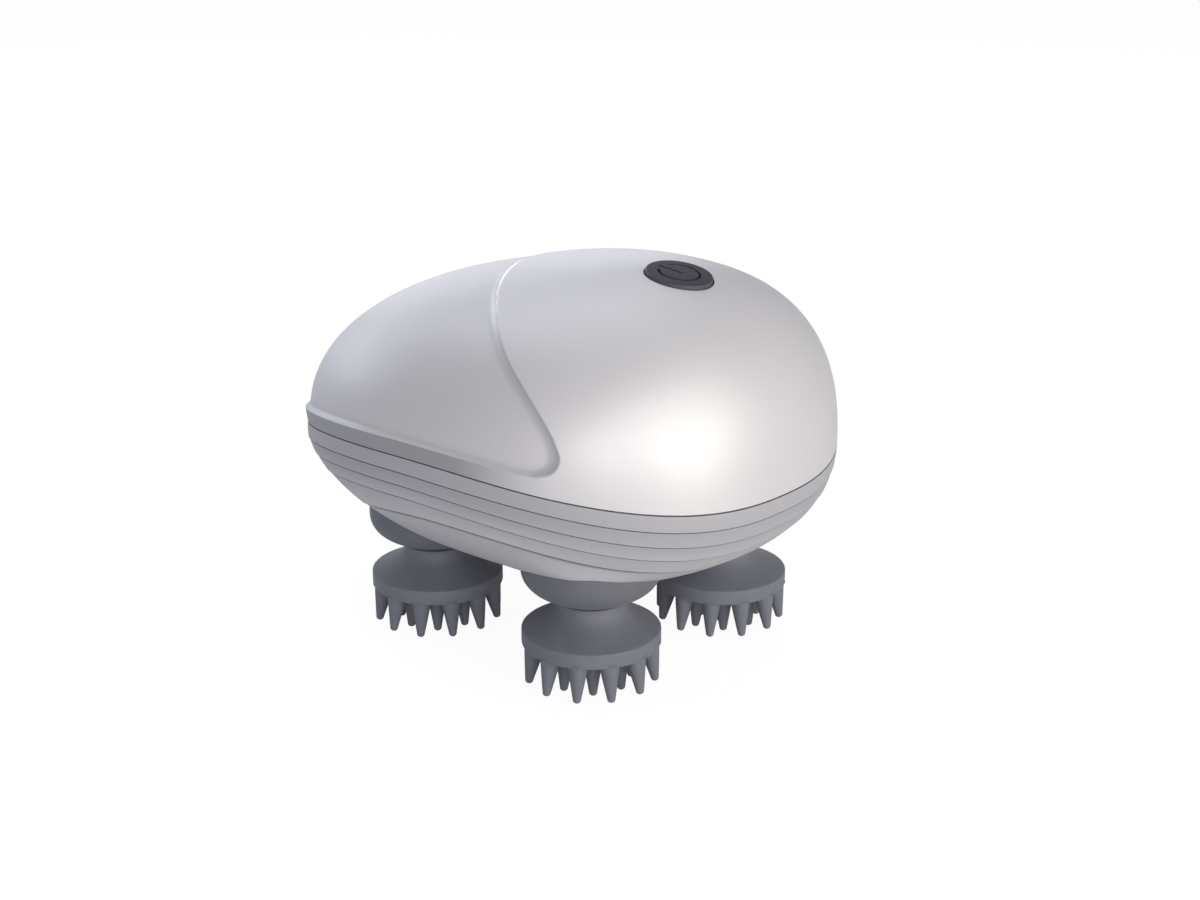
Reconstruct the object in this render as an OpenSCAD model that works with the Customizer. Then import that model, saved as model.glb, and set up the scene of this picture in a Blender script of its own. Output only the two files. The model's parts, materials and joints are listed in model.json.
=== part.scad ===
// Palm-held electric scalp massager: an egg-shaped shell over four turning bristle heads.
// X runs along the shell from nose (-X) to blunt end (+X). The bristle tips stand on Z = 0.

/* [Shell] */
// length from the widest section to the nose
nose_len = 54.2; // [53.9:0.1:54.5]
// length from the widest section to the blunt end
blunt_len = 52.2; // [51.9:0.1:52.5]
// half of the shell's width
half_w = 42.8; // [42.4:0.1:43.2]
// height of the dome's crown
top_z = 70.3; // [70:0.1:71]
// height of the flat underside
flat_z = 16.5; // [16.4:0.1:16.7]
// thickness of the shell walls
wall_t = 2.4; // [2.2:0.1:2.6]
// height of the dark joint between the two shells
seam_h = 0.4; // [0.4:0.05:0.7]
// depth of the recessed nose surface
step_d = 0.9; // [0.6:0.1:1.1]
// height of the plain band left above the joint
lip_h = 2.8; // [2.4:0.1:3.4]
// depth of each lapped band's step
lap_d = 0.3; // [0.3:0.05:0.7]

/* [Heads] */
// distance between head axes along the shell
pitch_x = 39.4; // [39.3:0.05:39.6]
// radius of a head's rim
disc_r = 12.25; // [12:0.05:12.5]
// radius of the bowl above a head
bowl_r = 12.3; // [12.1:0.05:12.4]
// radius of the ring the outer bristle tips stand on
outer_ring_r = 11.5; // [11.2:0.1:11.6]
// radius of the ring the inner bristle tips stand on
inner_ring_r = 7.1; // [6.9:0.1:7.3]
// radius of the head shafts
shaft_r = 2; // [1.9:0.05:2.1]

/* [Gears] */
// teeth on each head gear
head_teeth = 14; // [14:1:14]
// teeth on each pair gear
pair_teeth = 22; // [22:1:22]
// teeth on the motor pinion and on the reversing gear
small_teeth = 9; // [9:1:9]
// thickness of the gears
gear_t = 4; // [3.6:0.1:4.2]
// width taken off each tooth so that the mesh runs free
tooth_play = 0.14; // [0.1:0.02:0.2]
// running clearance around shafts
run_gap = 0.05; // [0.03:0.01:0.08]

/* [Button] */
// place of the button along the shell
button_x = 29.8; // [29.4:0.1:30.2]
// radius of the button
button_r = 5.9; // [5.6:0.1:6.2]
// height the button stands above the shell
button_h = 1; // [0.8:0.1:1.2]
// free travel of the button
button_travel = 0.4; // [0.3:0.05:0.5]

/* [Hidden] */
$fn = 48;
steps_t = 72; // points around the shell
wide_x = 1; // the widest section
nose_exp = 1.85; // roundness of the outline's nose half
blunt_exp = 2.37; // roundness of the outline's blunt half
crown_x = 23.3;
nose_dome_exp = 2.22; // roundness of the dome towards each side
blunt_dome_exp = 2.42;
side_dome_exp = 2.21;
bowl_x = -0.7; // lowest point of the lower shell if it weren't flat
bowl_z = 13.6;
nose_bowl_exp = 1.94;
blunt_bowl_exp = 2.21;
side_bowl_exp = 1.97;
seam_top = 42.7; // the joint is an arch: its height, its middle and its bend
seam_mid = 7.9;
seam_bend = 0.0031;
lap_top = [39.95, 37.3, 34.7, 31.2]; // the same for the four lap lines
lap_mid = [7.4, 7, 7, 11.7];
lap_bend = [0.0033, 0.0036, 0.0042, 0.0064];
floor_z = flat_z + 2.2;
tooth_m = 1; // gear module
pitch_y = tooth_m * (head_teeth + pair_teeth);
mid_x = 6.3; // middle of the four heads
pair_r = tooth_m * pair_teeth / 2;
small_r = tooth_m * small_teeth / 2;
small_u = (pow(pitch_x / 2, 2) + pow(small_r, 2) - pow(pair_r + small_r, 2)) / pitch_x;
small_v = sqrt(pow(small_r, 2) - pow(small_u, 2));
nose_pair_x = mid_x - pitch_x / 2;
blunt_pair_x = mid_x + pitch_x / 2;
pinion_at = [mid_x - small_u, small_v];
reverse_at = [mid_x + small_u, -small_v];
heads_at = [[nose_pair_x, -pitch_y / 2], [blunt_pair_x, -pitch_y / 2], [blunt_pair_x, pitch_y / 2],
    [nose_pair_x, pitch_y / 2]];
base_z = 28; // gearbox: underside of the base plate, gears, underside of the cover
gear_z = 30.6;
cover_z = 35.4;
plate_t = 2;
rim_low = 7.3; // a head's rim and neck
rim_high = 10.1;
neck_r = 6.1;
neck_z = 15.2;
side_screw_y = 15.3;
nose_screw_x = -31;
screw_r = 1.15;
screw_len = 24;
side_head_z = 19.8; // underside of the head of a side screw
post_r = 2.8; // screw posts and their feet
foot_r = 4;
nose_joint_z = 37.6; // where the two posts at the nose meet
gearhead_h = 8.6;
cell_r = 7;
cell_len = 50;
cell_y = 25.6;
cell_z = 45.7;
button_lean = 7.7;
well_r = 8.6; // button well, its groove and the seal in it
groove_r = 7.2;
board_low = 9.2; // main board: depth below the button, length behind it, length, width, thickness
board_back = 15.5;
board_len = 24.2;
board_w = 21;
board_t = 1.2;
motor_plug_x = 13; // plug of the motor leads, behind the button
motor_lead_drop = 10.95; // leads: depth below the button, and the run beside the board
cell_lead_drop = 11.95;
cell_lead_x = button_x + 3.9;
cell_lead_y = 8.5;
wire_r = 0.55;
plug_room = 0.02; // between the motor leads and the leaning face of their plug

white = [0.9, 0.9, 0.92];
light_grey = [0.72, 0.72, 0.75];
slate = [0.33, 0.34, 0.38];
charcoal = [0.17, 0.16, 0.19];
bare_steel = [0.7, 0.7, 0.72];

function sgn(v) = v < 0 ? -1 : 1;
function spow(v, e) = sgn(v) * pow(abs(v), e);
function seam_z(x) = seam_top - seam_bend * pow(x - seam_mid, 2);
function lap_z(k, x) = lap_top[k] - lap_bend[k] * pow(x - lap_mid[k], 2);
function rim_exp(t) = cos(t) < 0 ? nose_exp : blunt_exp;
function rim_x(t, in) = wide_x + ((cos(t) < 0 ? nose_len : blunt_len) - in) * spow(cos(t), 2 / rim_exp(t));
function rim_y(t, in) = (half_w - in) * spow(sin(t), 2 / rim_exp(t));
function rim_z(t, in) = seam_z(rim_x(t, in));

// exponent of the dome or bowl in direction t: it changes smoothly from end to side
function blend_exp(t, nose, blunt, side) = (cos(t) < 0 ? nose : blunt) * pow(cos(t), 2) + side * pow(sin(t), 2);
function dome_exp(t) = blend_exp(t, nose_dome_exp, blunt_dome_exp, side_dome_exp);
function bowl_exp(t) = blend_exp(t, nose_bowl_exp, blunt_bowl_exp, side_bowl_exp);

// a point of the dome: direction t, climb a from 0 at the joint to 90 at the crown
function dome_point(t, a, in, lift) =
    let (m = dome_exp(t), out = pow(cos(a), 2 / m), up = pow(sin(a), 2 / m))
    [crown_x + (rim_x(t, in) - crown_x) * out,
        rim_y(t, in) * out,
        (rim_z(t, in) + lift) * (1 - up) + (top_z - in) * up];

// a point of the bowl: direction t, share h of the way down to the lowest point
function bowl_out(t, h) = pow(max(1 - pow(h, bowl_exp(t)), 0), 1 / bowl_exp(t));
function bowl_point(t, h, in) =
    [bowl_x + (rim_x(t, in) - bowl_x) * bowl_out(t, h),
        rim_y(t, in) * bowl_out(t, h),
        (rim_z(t, in) - seam_h / 2) * (1 - h) + (bowl_z + in) * h];
function flat_share(t, in, z) = (rim_z(t, in) - seam_h / 2 - z) / (rim_z(t, in) - seam_h / 2 - bowl_z - in);

// share at which lap line k crosses direction t, closed in on by repeated steps
function lap_step(k, t, h) = (rim_z(t, 0) - lap_z(k, bowl_point(t, h, 0)[0])) / (rim_z(t, 0) - bowl_z);
function lap_near(k, t, h, n) = n == 0 ? h : lap_near(k, t, min(max(lap_step(k, t, h), 0.02), 0.97), n - 1);
function lap_share(k, t) = k < 0 ? 0 : k > 3 ? flat_share(t, 0, flat_z)
    : min(lap_near(k, t, 0.1 + 0.1 * k, 8), flat_share(t, 0, flat_z) * (0.5 + 0.12 * k));

// height of the dome on the midline behind the crown, and of the bowl on the midline before its lowest point
function dome_mid_z(x) =
    let (m = blunt_dome_exp, end = wide_x + blunt_len, out = (x - crown_x) / (end - crown_x),
        up = pow(1 - pow(out, m), 1 / m))
    seam_z(end) * (1 - up) + top_z * up;
function bowl_mid_z(x) =
    let (m = nose_bowl_exp, end = wide_x - nose_len, out = (x - bowl_x) / (end - bowl_x),
        h = pow(1 - pow(out, m), 1 / m))
    (seam_z(end) - seam_h / 2) * (1 - h) + bowl_z * h;

button_z = dome_mid_z(button_x);
nose_floor_z = bowl_mid_z(nose_screw_x);
nose_head_z = nose_floor_z + 6;

function turns(n) = [for (i = [0:n - 1]) 360 * i / n];
function dome_ring(a, in, lift) = [for (t = turns(steps_t)) dome_point(t, a, in, lift)];
function bowl_ring(share, in) =
    [for (t = turns(steps_t)) bowl_point(t, share * flat_share(t, in, floor_z), in)];
function lap_ring(k, u, in) =
    [for (t = turns(steps_t)) bowl_point(t, lap_share(k - 1, t) * (1 - u) + lap_share(k, t) * u, in)];

// closed skin through rings of points, with a point at each end
module skin(rings, first, last) {
    n = len(rings[0]);
    m = len(rings);
    body = [for (ring = rings) for (p = ring) p];
    start_fan = [for (j = [0:n - 1]) [0, 1 + (j + 1) % n, 1 + j]];
    sides = [for (i = [0:m - 2]) for (j = [0:n - 1]) for (half = [0, 1])
        let (a = 1 + i * n + j, b = 1 + i * n + (j + 1) % n)
        half == 0 ? [a, b, b + n] : [a, b + n, a + n]];
    end_fan = [for (j = [0:n - 1]) [1 + (m - 1) * n + j, 1 + (m - 1) * n + (j + 1) % n, 1 + m * n]];
    polyhedron(concat([first], body, [last]), concat(start_fan, sides, end_fan), convexity = 6);
}

// closed band through rings of points that come round to the first ring again
module band(rings) {
    n = len(rings[0]);
    m = len(rings);
    body = [for (ring = rings) for (p = ring) p];
    sides = [for (i = [0:m - 1]) for (j = [0:n - 1]) for (half = [0, 1])
        let (k = (i + 1) % m, a = i * n + j, b = i * n + (j + 1) % n, c = k * n + (j + 1) % n, d = k * n + j)
        half == 0 ? [a, b, c] : [a, c, d]];
    polyhedron(body, sides, convexity = 6);
}

climb = [86, 80, 73, 65, 57, 48, 39, 30, 21, 12, 5, 0];

// the dome as one solid, carried straight down below the joint
module dome_solid(in) {
    low = [for (t = turns(steps_t)) [rim_x(t, in), rim_y(t, in), 26]];
    skin(concat([for (a = climb) dome_ring(a, in, 0)], [low]), [crown_x, 0, top_z - in], [wide_x, 0, 26]);
}

function curve_point(c, s) =
    c[0] * pow(1 - s, 3) + 3 * c[1] * s * pow(1 - s, 2) + 3 * c[2] * s * s * (1 - s) + c[3] * pow(s, 3);

// edge of the recess, laid out on a plane that leans 45 degrees: x, and y plus z
edge_top = [[-4.8, 68.6], [-4.2, 62], [6, 46.5], [18.1, 31.8]];
edge_side = [[18.1, 31.8], [25.6, 22.7], [34.9, 16.8], [34.9, 11.6]];
edge_hook = [[34.9, 11.6], [34.9, 8.4], [33, 7.2], [29, 5.4]];
recess_edge = concat([for (i = [0:9]) curve_point(edge_top, i / 10)],
    [for (i = [0:7]) curve_point(edge_side, i / 8)], [for (i = [0:6]) curve_point(edge_hook, i / 6)]);

// space outside the recessed surface and above the lip, on both sides
module recess_side() {
    outline = concat([[-90, 90], [-4.8, 90]], recess_edge, [[29, -60], [-90, -60]]);
    intersection() {
        rotate([45, 0, 0])
        translate([0, 0, -10])
        linear_extrude(120)
        scale([1, sqrt(0.5)])
        polygon(outline);
        translate([-90, -90, 0])
        cube([180, 90, 120]);
    }
}

module above_lip() {
    arch = [for (i = [0:40]) let (x = -70 + 3.5 * i) [x, seam_z(x) + seam_h / 2 + lip_h]];
    rotate([90, 0, 0])
    translate([0, 0, -60])
    linear_extrude(120)
    polygon(concat(arch, [[70, 100], [-70, 100]]));
}

module recess() {
    difference() {
        intersection() {
            union() {
                recess_side();
                mirror([0, 1, 0])
                recess_side();
            }
            above_lip();
        }
        dome_solid(step_d);
    }
}

// local axes of the button: Z out of the shell
module at_button() {
    translate([button_x, 0, button_z])
    rotate([0, button_lean, 0])
    children();
}

board_screws_at = [for (x = [3 - board_back, board_len - board_back - 2.5]) for (s = [-1, 1])
    [x, s * (board_w / 2 - 2.3)]];

module upper_posts() {
    for (s = [-1, 1])
        translate([mid_x, s * side_screw_y, cover_z + plate_t])
        cylinder(r = post_r, h = top_z - cover_z - plate_t);
    translate([nose_screw_x, 0, nose_joint_z])
    cylinder(r = post_r, h = top_z - nose_joint_z);
    at_button()
    for (p = board_screws_at)
        translate([p[0], p[1], board_t - board_low])
        cylinder(r = 1.9, h = 9);
    at_button()
    translate([0, 0, -4.2])
    cylinder(r = well_r, h = 4);
}

module upper_shell() {
    outer = [for (a = climb) dome_ring(a, 0, seam_h / 2)];
    inner = [for (i = [1:len(climb)]) dome_ring(climb[len(climb) - i], wall_t, seam_h / 2)];
    color(white)
    difference() {
        union() {
            skin(concat(outer, inner), [crown_x, 0, top_z], [crown_x, 0, top_z - wall_t]);
            intersection() {
                upper_posts();
                dome_solid(step_d + 0.5);
            }
        }
        recess();
        for (s = [-1, 1])
            translate([mid_x, s * side_screw_y, side_head_z])
            cylinder(r = screw_r, h = screw_len + 0.6);
        translate([nose_screw_x, 0, nose_head_z])
        cylinder(r = screw_r, h = screw_len + 0.6);
        at_button() {
            translate([0, 0, -3])
            cylinder(r = button_r + 0.3, h = 8);
            translate([0, 0, -5])
            cylinder(r = groove_r, h = 2.4);
            for (p = board_screws_at)
                translate([p[0], p[1], -board_low])
                cylinder(r = 0.8, h = 5.2);
        }
    }
}

// outside of the bowl above a head, from its bottom hole to its collar
function bowl_side(n, grow) = [for (i = [0:n]) let (r = 4.5 + (bowl_r - 4.5) * sin(90 * i / n))
    [r + grow, 21.6 - 6 * pow(1 - pow(r / bowl_r, 2.33), 1 / 2.33)]];

module bowl_space(x, y) {
    side = bowl_side(8, 0.02);
    translate([x, y, 0])
    rotate_extrude()
    polygon(concat([[0, 10], [side[0][0], 10]], side, [[bowl_r + 0.02, base_z], [0, base_z]]));
}

module screw_wells() {
    for (s = [-1, 1])
        translate([mid_x, s * side_screw_y, 0]) {
            cylinder(r = 2.6, h = side_head_z);
            cylinder(r = screw_r + 0.1, h = 40);
        }
    translate([nose_screw_x, 0, 0]) {
        cylinder(r = 2.6, h = nose_head_z);
        cylinder(r = screw_r + 0.1, h = 60);
    }
}

module lower_posts() {
    for (s = [-1, 1])
        translate([mid_x, s * side_screw_y, flat_z + 1]) {
            cylinder(r = foot_r, h = side_head_z + 2.3 - flat_z - 1);
            cylinder(r = post_r, h = base_z - flat_z - 1);
        }
    translate([nose_screw_x, 0, nose_floor_z + 1]) {
        cylinder(r = foot_r, h = nose_head_z + 2 - nose_floor_z - 1);
        cylinder(r = post_r, h = nose_joint_z - nose_floor_z - 1);
    }
}

module lower_shell() {
    inner = [for (s = [1, 0.93, 0.84, 0.72, 0.58, 0.42, 0.25, 0.1, 0]) bowl_ring(s, wall_t)];
    outer = concat([lap_ring(0, 0, 0), lap_ring(0, 0.5, 0), lap_ring(0, 1, 0)],
        [for (k = [1:4]) each [lap_ring(k, 0, lap_d), lap_ring(k, 0.5, lap_d / 2), lap_ring(k, 1, 0)]]);
    color(light_grey)
    difference() {
        union() {
            skin(concat(inner, outer), [bowl_x, 0, floor_z], [bowl_x, 0, flat_z]);
            lower_posts();
        }
        for (p = heads_at)
            bowl_space(p[0], p[1]);
        screw_wells();
        translate([mid_x, 0, 0])
        cylinder(r = 8, h = 30);
    }
}

module seam_seal() {
    low = [for (in = [0.5, 2]) [for (t = turns(steps_t)) [rim_x(t, in), rim_y(t, in), rim_z(t, in) - seam_h / 2 + 0.01]]];
    high = [for (in = [0.5, 2]) [for (t = turns(steps_t)) [rim_x(t, in), rim_y(t, in), rim_z(t, in) + seam_h / 2 - 0.01]]];
    color(charcoal)
    band([high[0], low[0], low[1], high[1]]);
}

// soft bowl between the shell and a head, clamped under the gearbox base
module head_bowl(i) {
    side = bowl_side(8, 0);
    inside = [[10.2, base_z], [10.2, 21], [8.6, 18], [4.5, 18]];
    color(slate)
    translate([heads_at[i][0], heads_at[i][1], 0])
    rotate_extrude()
    polygon(concat(side, [[bowl_r, base_z]], inside));
}

module shaft_seal(i) {
    color(charcoal)
    translate([heads_at[i][0], heads_at[i][1], 16])
    difference() {
        cylinder(r = 4.5, h = 1.9);
        translate([0, 0, -1])
        cylinder(r = shaft_r + run_gap, h = 4);
    }
}

module shaft_bush(i) {
    color([0.72, 0.55, 0.3])
    translate([heads_at[i][0], heads_at[i][1], 18.6])
    difference() {
        cylinder(r = 4, h = 9.4);
        translate([0, 0, -1])
        cylinder(r = shaft_r + run_gap, h = 12);
    }
}

gear_screws_at = [[mid_x, -21], [mid_x, 21], [-4.2, -12.6], [-4.2, 12.6]];

// outline shared by the two gearbox plates
module plate(z) {
    translate([0, 0, z]) {
        translate([nose_pair_x, -pitch_y / 2 - 9.4, 0])
        cube([pitch_x, pitch_y + 18.8, plate_t]);
        translate([nose_pair_x - 9.4, -pitch_y / 2, 0])
        cube([pitch_x + 18.8, pitch_y, plate_t]);
        for (p = heads_at)
            translate([p[0], p[1], 0])
            cylinder(r = 9.4, h = plate_t);
        for (x = [nose_pair_x, blunt_pair_x])
            translate([x, 0, 0])
            cylinder(r = 13, h = plate_t);
    }
}

module gearbox_base() {
    color([0.8, 0.8, 0.78])
    difference() {
        union() {
            plate(base_z);
            for (p = heads_at)
                translate([p[0], p[1], 18])
                cylinder(r = 6, h = 10.5);
            for (s = [-1, 1])
                translate([mid_x, s * side_screw_y, base_z])
                cylinder(r = post_r, h = cover_z - base_z);
            for (p = gear_screws_at)
                translate([p[0], p[1], base_z])
                cylinder(r = 2.4, h = cover_z - base_z);
        }
        for (p = heads_at) {
            translate([p[0], p[1], 10])
            cylinder(r = 4, h = 18);
            translate([p[0], p[1], 10])
            cylinder(r = 3, h = 30);
        }
        for (s = [-1, 1])
            translate([mid_x, s * side_screw_y, 20])
            cylinder(r = screw_r + 0.1, h = 30);
        for (p = gear_screws_at)
            translate([p[0], p[1], base_z + 1])
            cylinder(r = 0.9, h = 20);
        for (x = [nose_pair_x, blunt_pair_x])
            translate([x, 0, base_z + 0.5])
            cylinder(r = 2, h = 10);
        translate([reverse_at[0], reverse_at[1], base_z + 0.5])
        cylinder(r = 1.5, h = 10);
    }
}

module gearbox_cover() {
    color([0.8, 0.8, 0.78])
    difference() {
        plate(cover_z);
        for (p = heads_at)
            translate([p[0], p[1], 20])
            cylinder(r = shaft_r + run_gap, h = 30);
        for (s = [-1, 1])
            translate([mid_x, s * side_screw_y, 20])
            cylinder(r = screw_r + 0.1, h = 30);
        for (p = gear_screws_at)
            translate([p[0], p[1], 20])
            cylinder(r = 0.9, h = 30);
        for (x = [nose_pair_x, blunt_pair_x])
            translate([x, 0, 20])
            cylinder(r = 2, h = 30);
        translate([reverse_at[0], reverse_at[1], 20])
        cylinder(r = 1.5, h = 30);
        translate([pinion_at[0], pinion_at[1], 20])
        cylinder(r = 3, h = 30);
    }
}

module gear_axles() {
    color(bare_steel) {
        for (x = [nose_pair_x, blunt_pair_x])
            translate([x, 0, base_z + 0.5])
            cylinder(r = 2, h = cover_z + plate_t - base_z - 0.5);
        translate([reverse_at[0], reverse_at[1], base_z + 0.5])
        cylinder(r = 1.5, h = cover_z + plate_t - base_z - 0.5);
    }
}

// involute of a circle of radius base at radius r, in degrees
function roll(r, base) = r <= base ? 0 : tan(acos(base / r)) * 180 / PI - acos(base / r);

// outline of a gear with one tooth centred on angle turn; pressure angle 25 degrees, short teeth
function gear_outline(teeth, turn) =
    let (rp = tooth_m * teeth / 2, base = rp * cos(25), tip = rp + 0.8 * tooth_m, root = rp - 1.05 * tooth_m,
        low = max(base, root + 0.08), parts = teeth < 12 ? 3 : 2,
        half = (PI * tooth_m / 2 - tooth_play) / 2 / rp * 180 / PI + roll(rp, base),
        radii = concat([root], [for (k = [0:parts]) low + (tip - low) * k / parts]), n = len(radii))
    [for (i = [0:teeth - 1]) for (j = [0:2 * n - 1])
        let (r = radii[j < n ? j : 2 * n - 1 - j], side = j < n ? -1 : 1,
            a = turn + 360 * i / teeth + side * (half - roll(r, base)))
        [r * cos(a), r * sin(a)]];

// angle a gear must have so that it meshes with a neighbour lying at angle way from that neighbour
function part_of_one(v) = v - floor(v);
function mesh_turn(teeth_1, turn_1, way, teeth_2) =
    way + 180 - (0.5 - part_of_one((way - turn_1) * teeth_1 / 360)) * 360 / teeth_2;
function way_to(a, b) = atan2(b[1] - a[1], b[0] - a[0]);

nose_pair_at = [nose_pair_x, 0];
blunt_pair_at = [blunt_pair_x, 0];
pinion_turn = 0;
nose_pair_turn = mesh_turn(small_teeth, pinion_turn, way_to(pinion_at, nose_pair_at), pair_teeth);
reverse_turn = mesh_turn(small_teeth, pinion_turn, way_to(pinion_at, reverse_at), small_teeth);
blunt_pair_turn = mesh_turn(small_teeth, reverse_turn, way_to(reverse_at, blunt_pair_at), pair_teeth);
function head_turn(i) = i == 0 || i == 3
    ? mesh_turn(pair_teeth, nose_pair_turn, way_to(nose_pair_at, heads_at[i]), head_teeth)
    : mesh_turn(pair_teeth, blunt_pair_turn, way_to(blunt_pair_at, heads_at[i]), head_teeth);

module gear(teeth, turn, bore) {
    translate([0, 0, gear_z])
    difference() {
        linear_extrude(gear_t)
        polygon(gear_outline(teeth, turn));
        translate([0, 0, -1])
        cylinder(r = bore, h = gear_t + 2);
    }
}

module pair_gear(at, turn) {
    color([0.85, 0.83, 0.74])
    translate([at[0], at[1], 0])
    difference() {
        gear(pair_teeth, turn, 2 + run_gap);
        translate([0, 0, gear_z + gear_t - 1])
        difference() {
            cylinder(r = 8.8, h = 2);
            translate([0, 0, -1])
            cylinder(r = 4, h = 4);
        }
    }
}

module nose_pair_gear() {
    pair_gear(nose_pair_at, nose_pair_turn);
}

module blunt_pair_gear() {
    pair_gear(blunt_pair_at, blunt_pair_turn);
}

module reversing_gear() {
    color([0.85, 0.83, 0.74])
    translate([reverse_at[0], reverse_at[1], 0])
    gear(small_teeth, reverse_turn, 1.5 + run_gap);
}

module motor_pinion() {
    color([0.72, 0.55, 0.3])
    translate([pinion_at[0], pinion_at[1], 0])
    gear(small_teeth, pinion_turn, 1.5);
}

module output_shaft() {
    color(bare_steel)
    translate([pinion_at[0], pinion_at[1], base_z + plate_t + 0.2])
    cylinder(r = 1.5, h = 14);
}

module gearhead() {
    color(bare_steel)
    translate([pinion_at[0], pinion_at[1], 0])
    difference() {
        union() {
            translate([0, 0, cover_z + plate_t])
            cylinder(r = 10.4, h = gearhead_h);
            translate([0, 0, cover_z + 0.3])
            cylinder(r = 3, h = 4);
        }
        translate([0, 0, 30])
        cylinder(r = 1.5 + run_gap, h = 15);
    }
}

module motor_can() {
    z = cover_z + plate_t + gearhead_h;
    can_h = button_z - motor_lead_drop - 1 - z;
    color([0.62, 0.62, 0.64])
    translate([pinion_at[0], pinion_at[1], z]) {
        cylinder(r = 10.4, h = can_h);
        cylinder(r = 3.2, h = can_h + 1.4);
        for (s = [-1, 1])
            translate([5, s * 3.5 - 0.4, can_h - 1])
            cube([1.6, 0.8, 3]);
    }
}

module head_gear(i) {
    color([0.85, 0.83, 0.74])
    translate([heads_at[i][0], heads_at[i][1], 0])
    gear(head_teeth, head_turn(i), shaft_r);
}

module head_shaft(i) {
    color(bare_steel)
    translate([heads_at[i][0], heads_at[i][1], 9.2])
    cylinder(r = shaft_r, h = cover_z + plate_t - 9.2);
}

// stiff disc and hub the soft head is moulded over
module head_core(i) {
    color([0.8, 0.8, 0.78])
    translate([heads_at[i][0], heads_at[i][1], 0])
    rotate_extrude()
    polygon([[0, 8.6], [9.2, 8.6], [9.2, 10.3], [4.2, 10.3], [4.2, neck_z], [shaft_r, neck_z], [shaft_r, 9.2],
        [0, 9.2]]);
}

// one bristle: its root stands at radius from_r and leans out to its tip at radius to_r
module bristle(a, from_r, to_r, tip_z) {
    lean = atan2(to_r - from_r, rim_low + 0.3 - tip_z);
    reach = (rim_low + 0.3 - tip_z - 0.36 * sin(lean)) / cos(lean);
    rotate([0, 0, a])
    translate([from_r, 0, rim_low + 0.3])
    rotate([0, 180 - lean, 0]) {
        cylinder(r1 = 1.8, r2 = 0.74, h = reach - 0.42);
        translate([0, 0, reach - 0.42])
        cylinder(r1 = 0.74, r2 = 0.36, h = 0.42);
    }
}

module massage_head(i) {
    flare = [for (k = [0:8]) let (s = k / 8) [neck_r + (disc_r - 0.3 - neck_r) * pow(1 - s, 2.4),
        rim_high + (neck_z - rim_high) * s]];
    color(slate)
    translate([heads_at[i][0], heads_at[i][1], 0])
    union() {
        rotate_extrude()
        polygon(concat([[0, rim_low], [disc_r - 0.2, rim_low], [disc_r, rim_low + 0.2], [disc_r, rim_high - 0.2]],
            flare, [[4.2, neck_z], [4.2, 10.3], [9.2, 10.3], [9.2, 8.6], [0, 8.6]]));
        for (k = [0:11])
            bristle(30 * k, 10.3, outer_ring_r, 0.6);
        for (k = [0:7])
            bristle(45 * k, 6.5, inner_ring_r, 0);
        for (k = [0:3])
            bristle(45 + 90 * k, 3, 3.5, 0);
    }
}

module screw(length, head_r) {
    difference() {
        union() {
            cylinder(r = screw_r, h = length);
            translate([0, 0, -1.8])
            cylinder(r = head_r, h = 1.8);
        }
        for (a = [0, 90])
            rotate([0, 0, a])
            translate([-1.3, -0.25, -2.8])
            cube([2.6, 0.5, 1.9]);
    }
}

module shell_screws() {
    color(bare_steel) {
        for (s = [-1, 1])
            translate([mid_x, s * side_screw_y, side_head_z])
            screw(screw_len, 2.3);
        translate([nose_screw_x, 0, nose_head_z])
        screw(screw_len, 2.3);
    }
}

module gearbox_screws() {
    color(bare_steel)
    for (p = gear_screws_at)
        translate([p[0], p[1], cover_z + plate_t])
        difference() {
            union() {
                translate([0, 0, -7])
                cylinder(r = 0.9, h = 7.2);
                cylinder(r = 1.8, h = 1);
            }
            translate([-1.2, -0.25, 0.6])
            cube([2.4, 0.5, 2]);
        }
}

module battery_tray() {
    color([0.25, 0.25, 0.27])
    difference() {
        for (s = [-1, 1])
            translate([mid_x - 18, s * cell_y - 6.3, cover_z + plate_t])
            cube([36, 12.6, cell_z - cover_z - plate_t - 3]);
        for (s = [-1, 1])
            translate([mid_x - 30, s * cell_y, cell_z])
            rotate([0, 90, 0])
            cylinder(r = cell_r + 0.02, h = 60);
        for (p = gear_screws_at)
            translate([p[0], p[1], cover_z])
            cylinder(r = 2.3, h = plate_t + 1.6);
    }
}

module battery_cell(side) {
    color([0.25, 0.42, 0.62])
    translate([mid_x - cell_len / 2, side * cell_y, cell_z])
    rotate([0, 90, 0]) {
        cylinder(r = cell_r, h = cell_len - 1.2);
        cylinder(r = 2.6, h = cell_len);
    }
}

module main_board() {
    color([0.1, 0.35, 0.22])
    at_button()
    difference() {
        translate([-board_back, -board_w / 2, -board_low])
        cube([board_len, board_w, board_t]);
        for (p = board_screws_at)
            translate([p[0], p[1], -board_low - 1])
            cylinder(r = 0.85, h = board_t + 2);
    }
}

module board_screws() {
    color(bare_steel)
    at_button()
    for (p = board_screws_at)
        translate([p[0], p[1], -board_low - 0.8]) {
            cylinder(r = 0.8, h = 5.6);
            cylinder(r = 1.5, h = 0.8);
        }
}

module board_parts() {
    color([0.12, 0.12, 0.13])
    at_button()
    translate([0, 0, -board_low]) {
        translate([-7, -3, -1.6])
        cube([6, 6, 1.6]);
        translate([-motor_plug_x, pinion_at[1] - 4.5, -4.2])
        cube([4, 9, 4.2]);
        translate([-2, 5, -1.1])
        cube([3, 1.6, 1.1]);
        translate([-2, -7.4, -1.1])
        cube([3, 1.6, 1.1]);
        translate([3, -5, -4])
        cube([5, 10, 4]);
    }
}

module tact_switch() {
    color(charcoal)
    at_button()
    translate([0, 0, board_t - board_low]) {
        translate([-3, -3, 0])
        cube([6, 6, 3.1]);
        translate([0, 0, 3.1])
        cylinder(r = 1.6, h = 0.5);
    }
}

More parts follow.
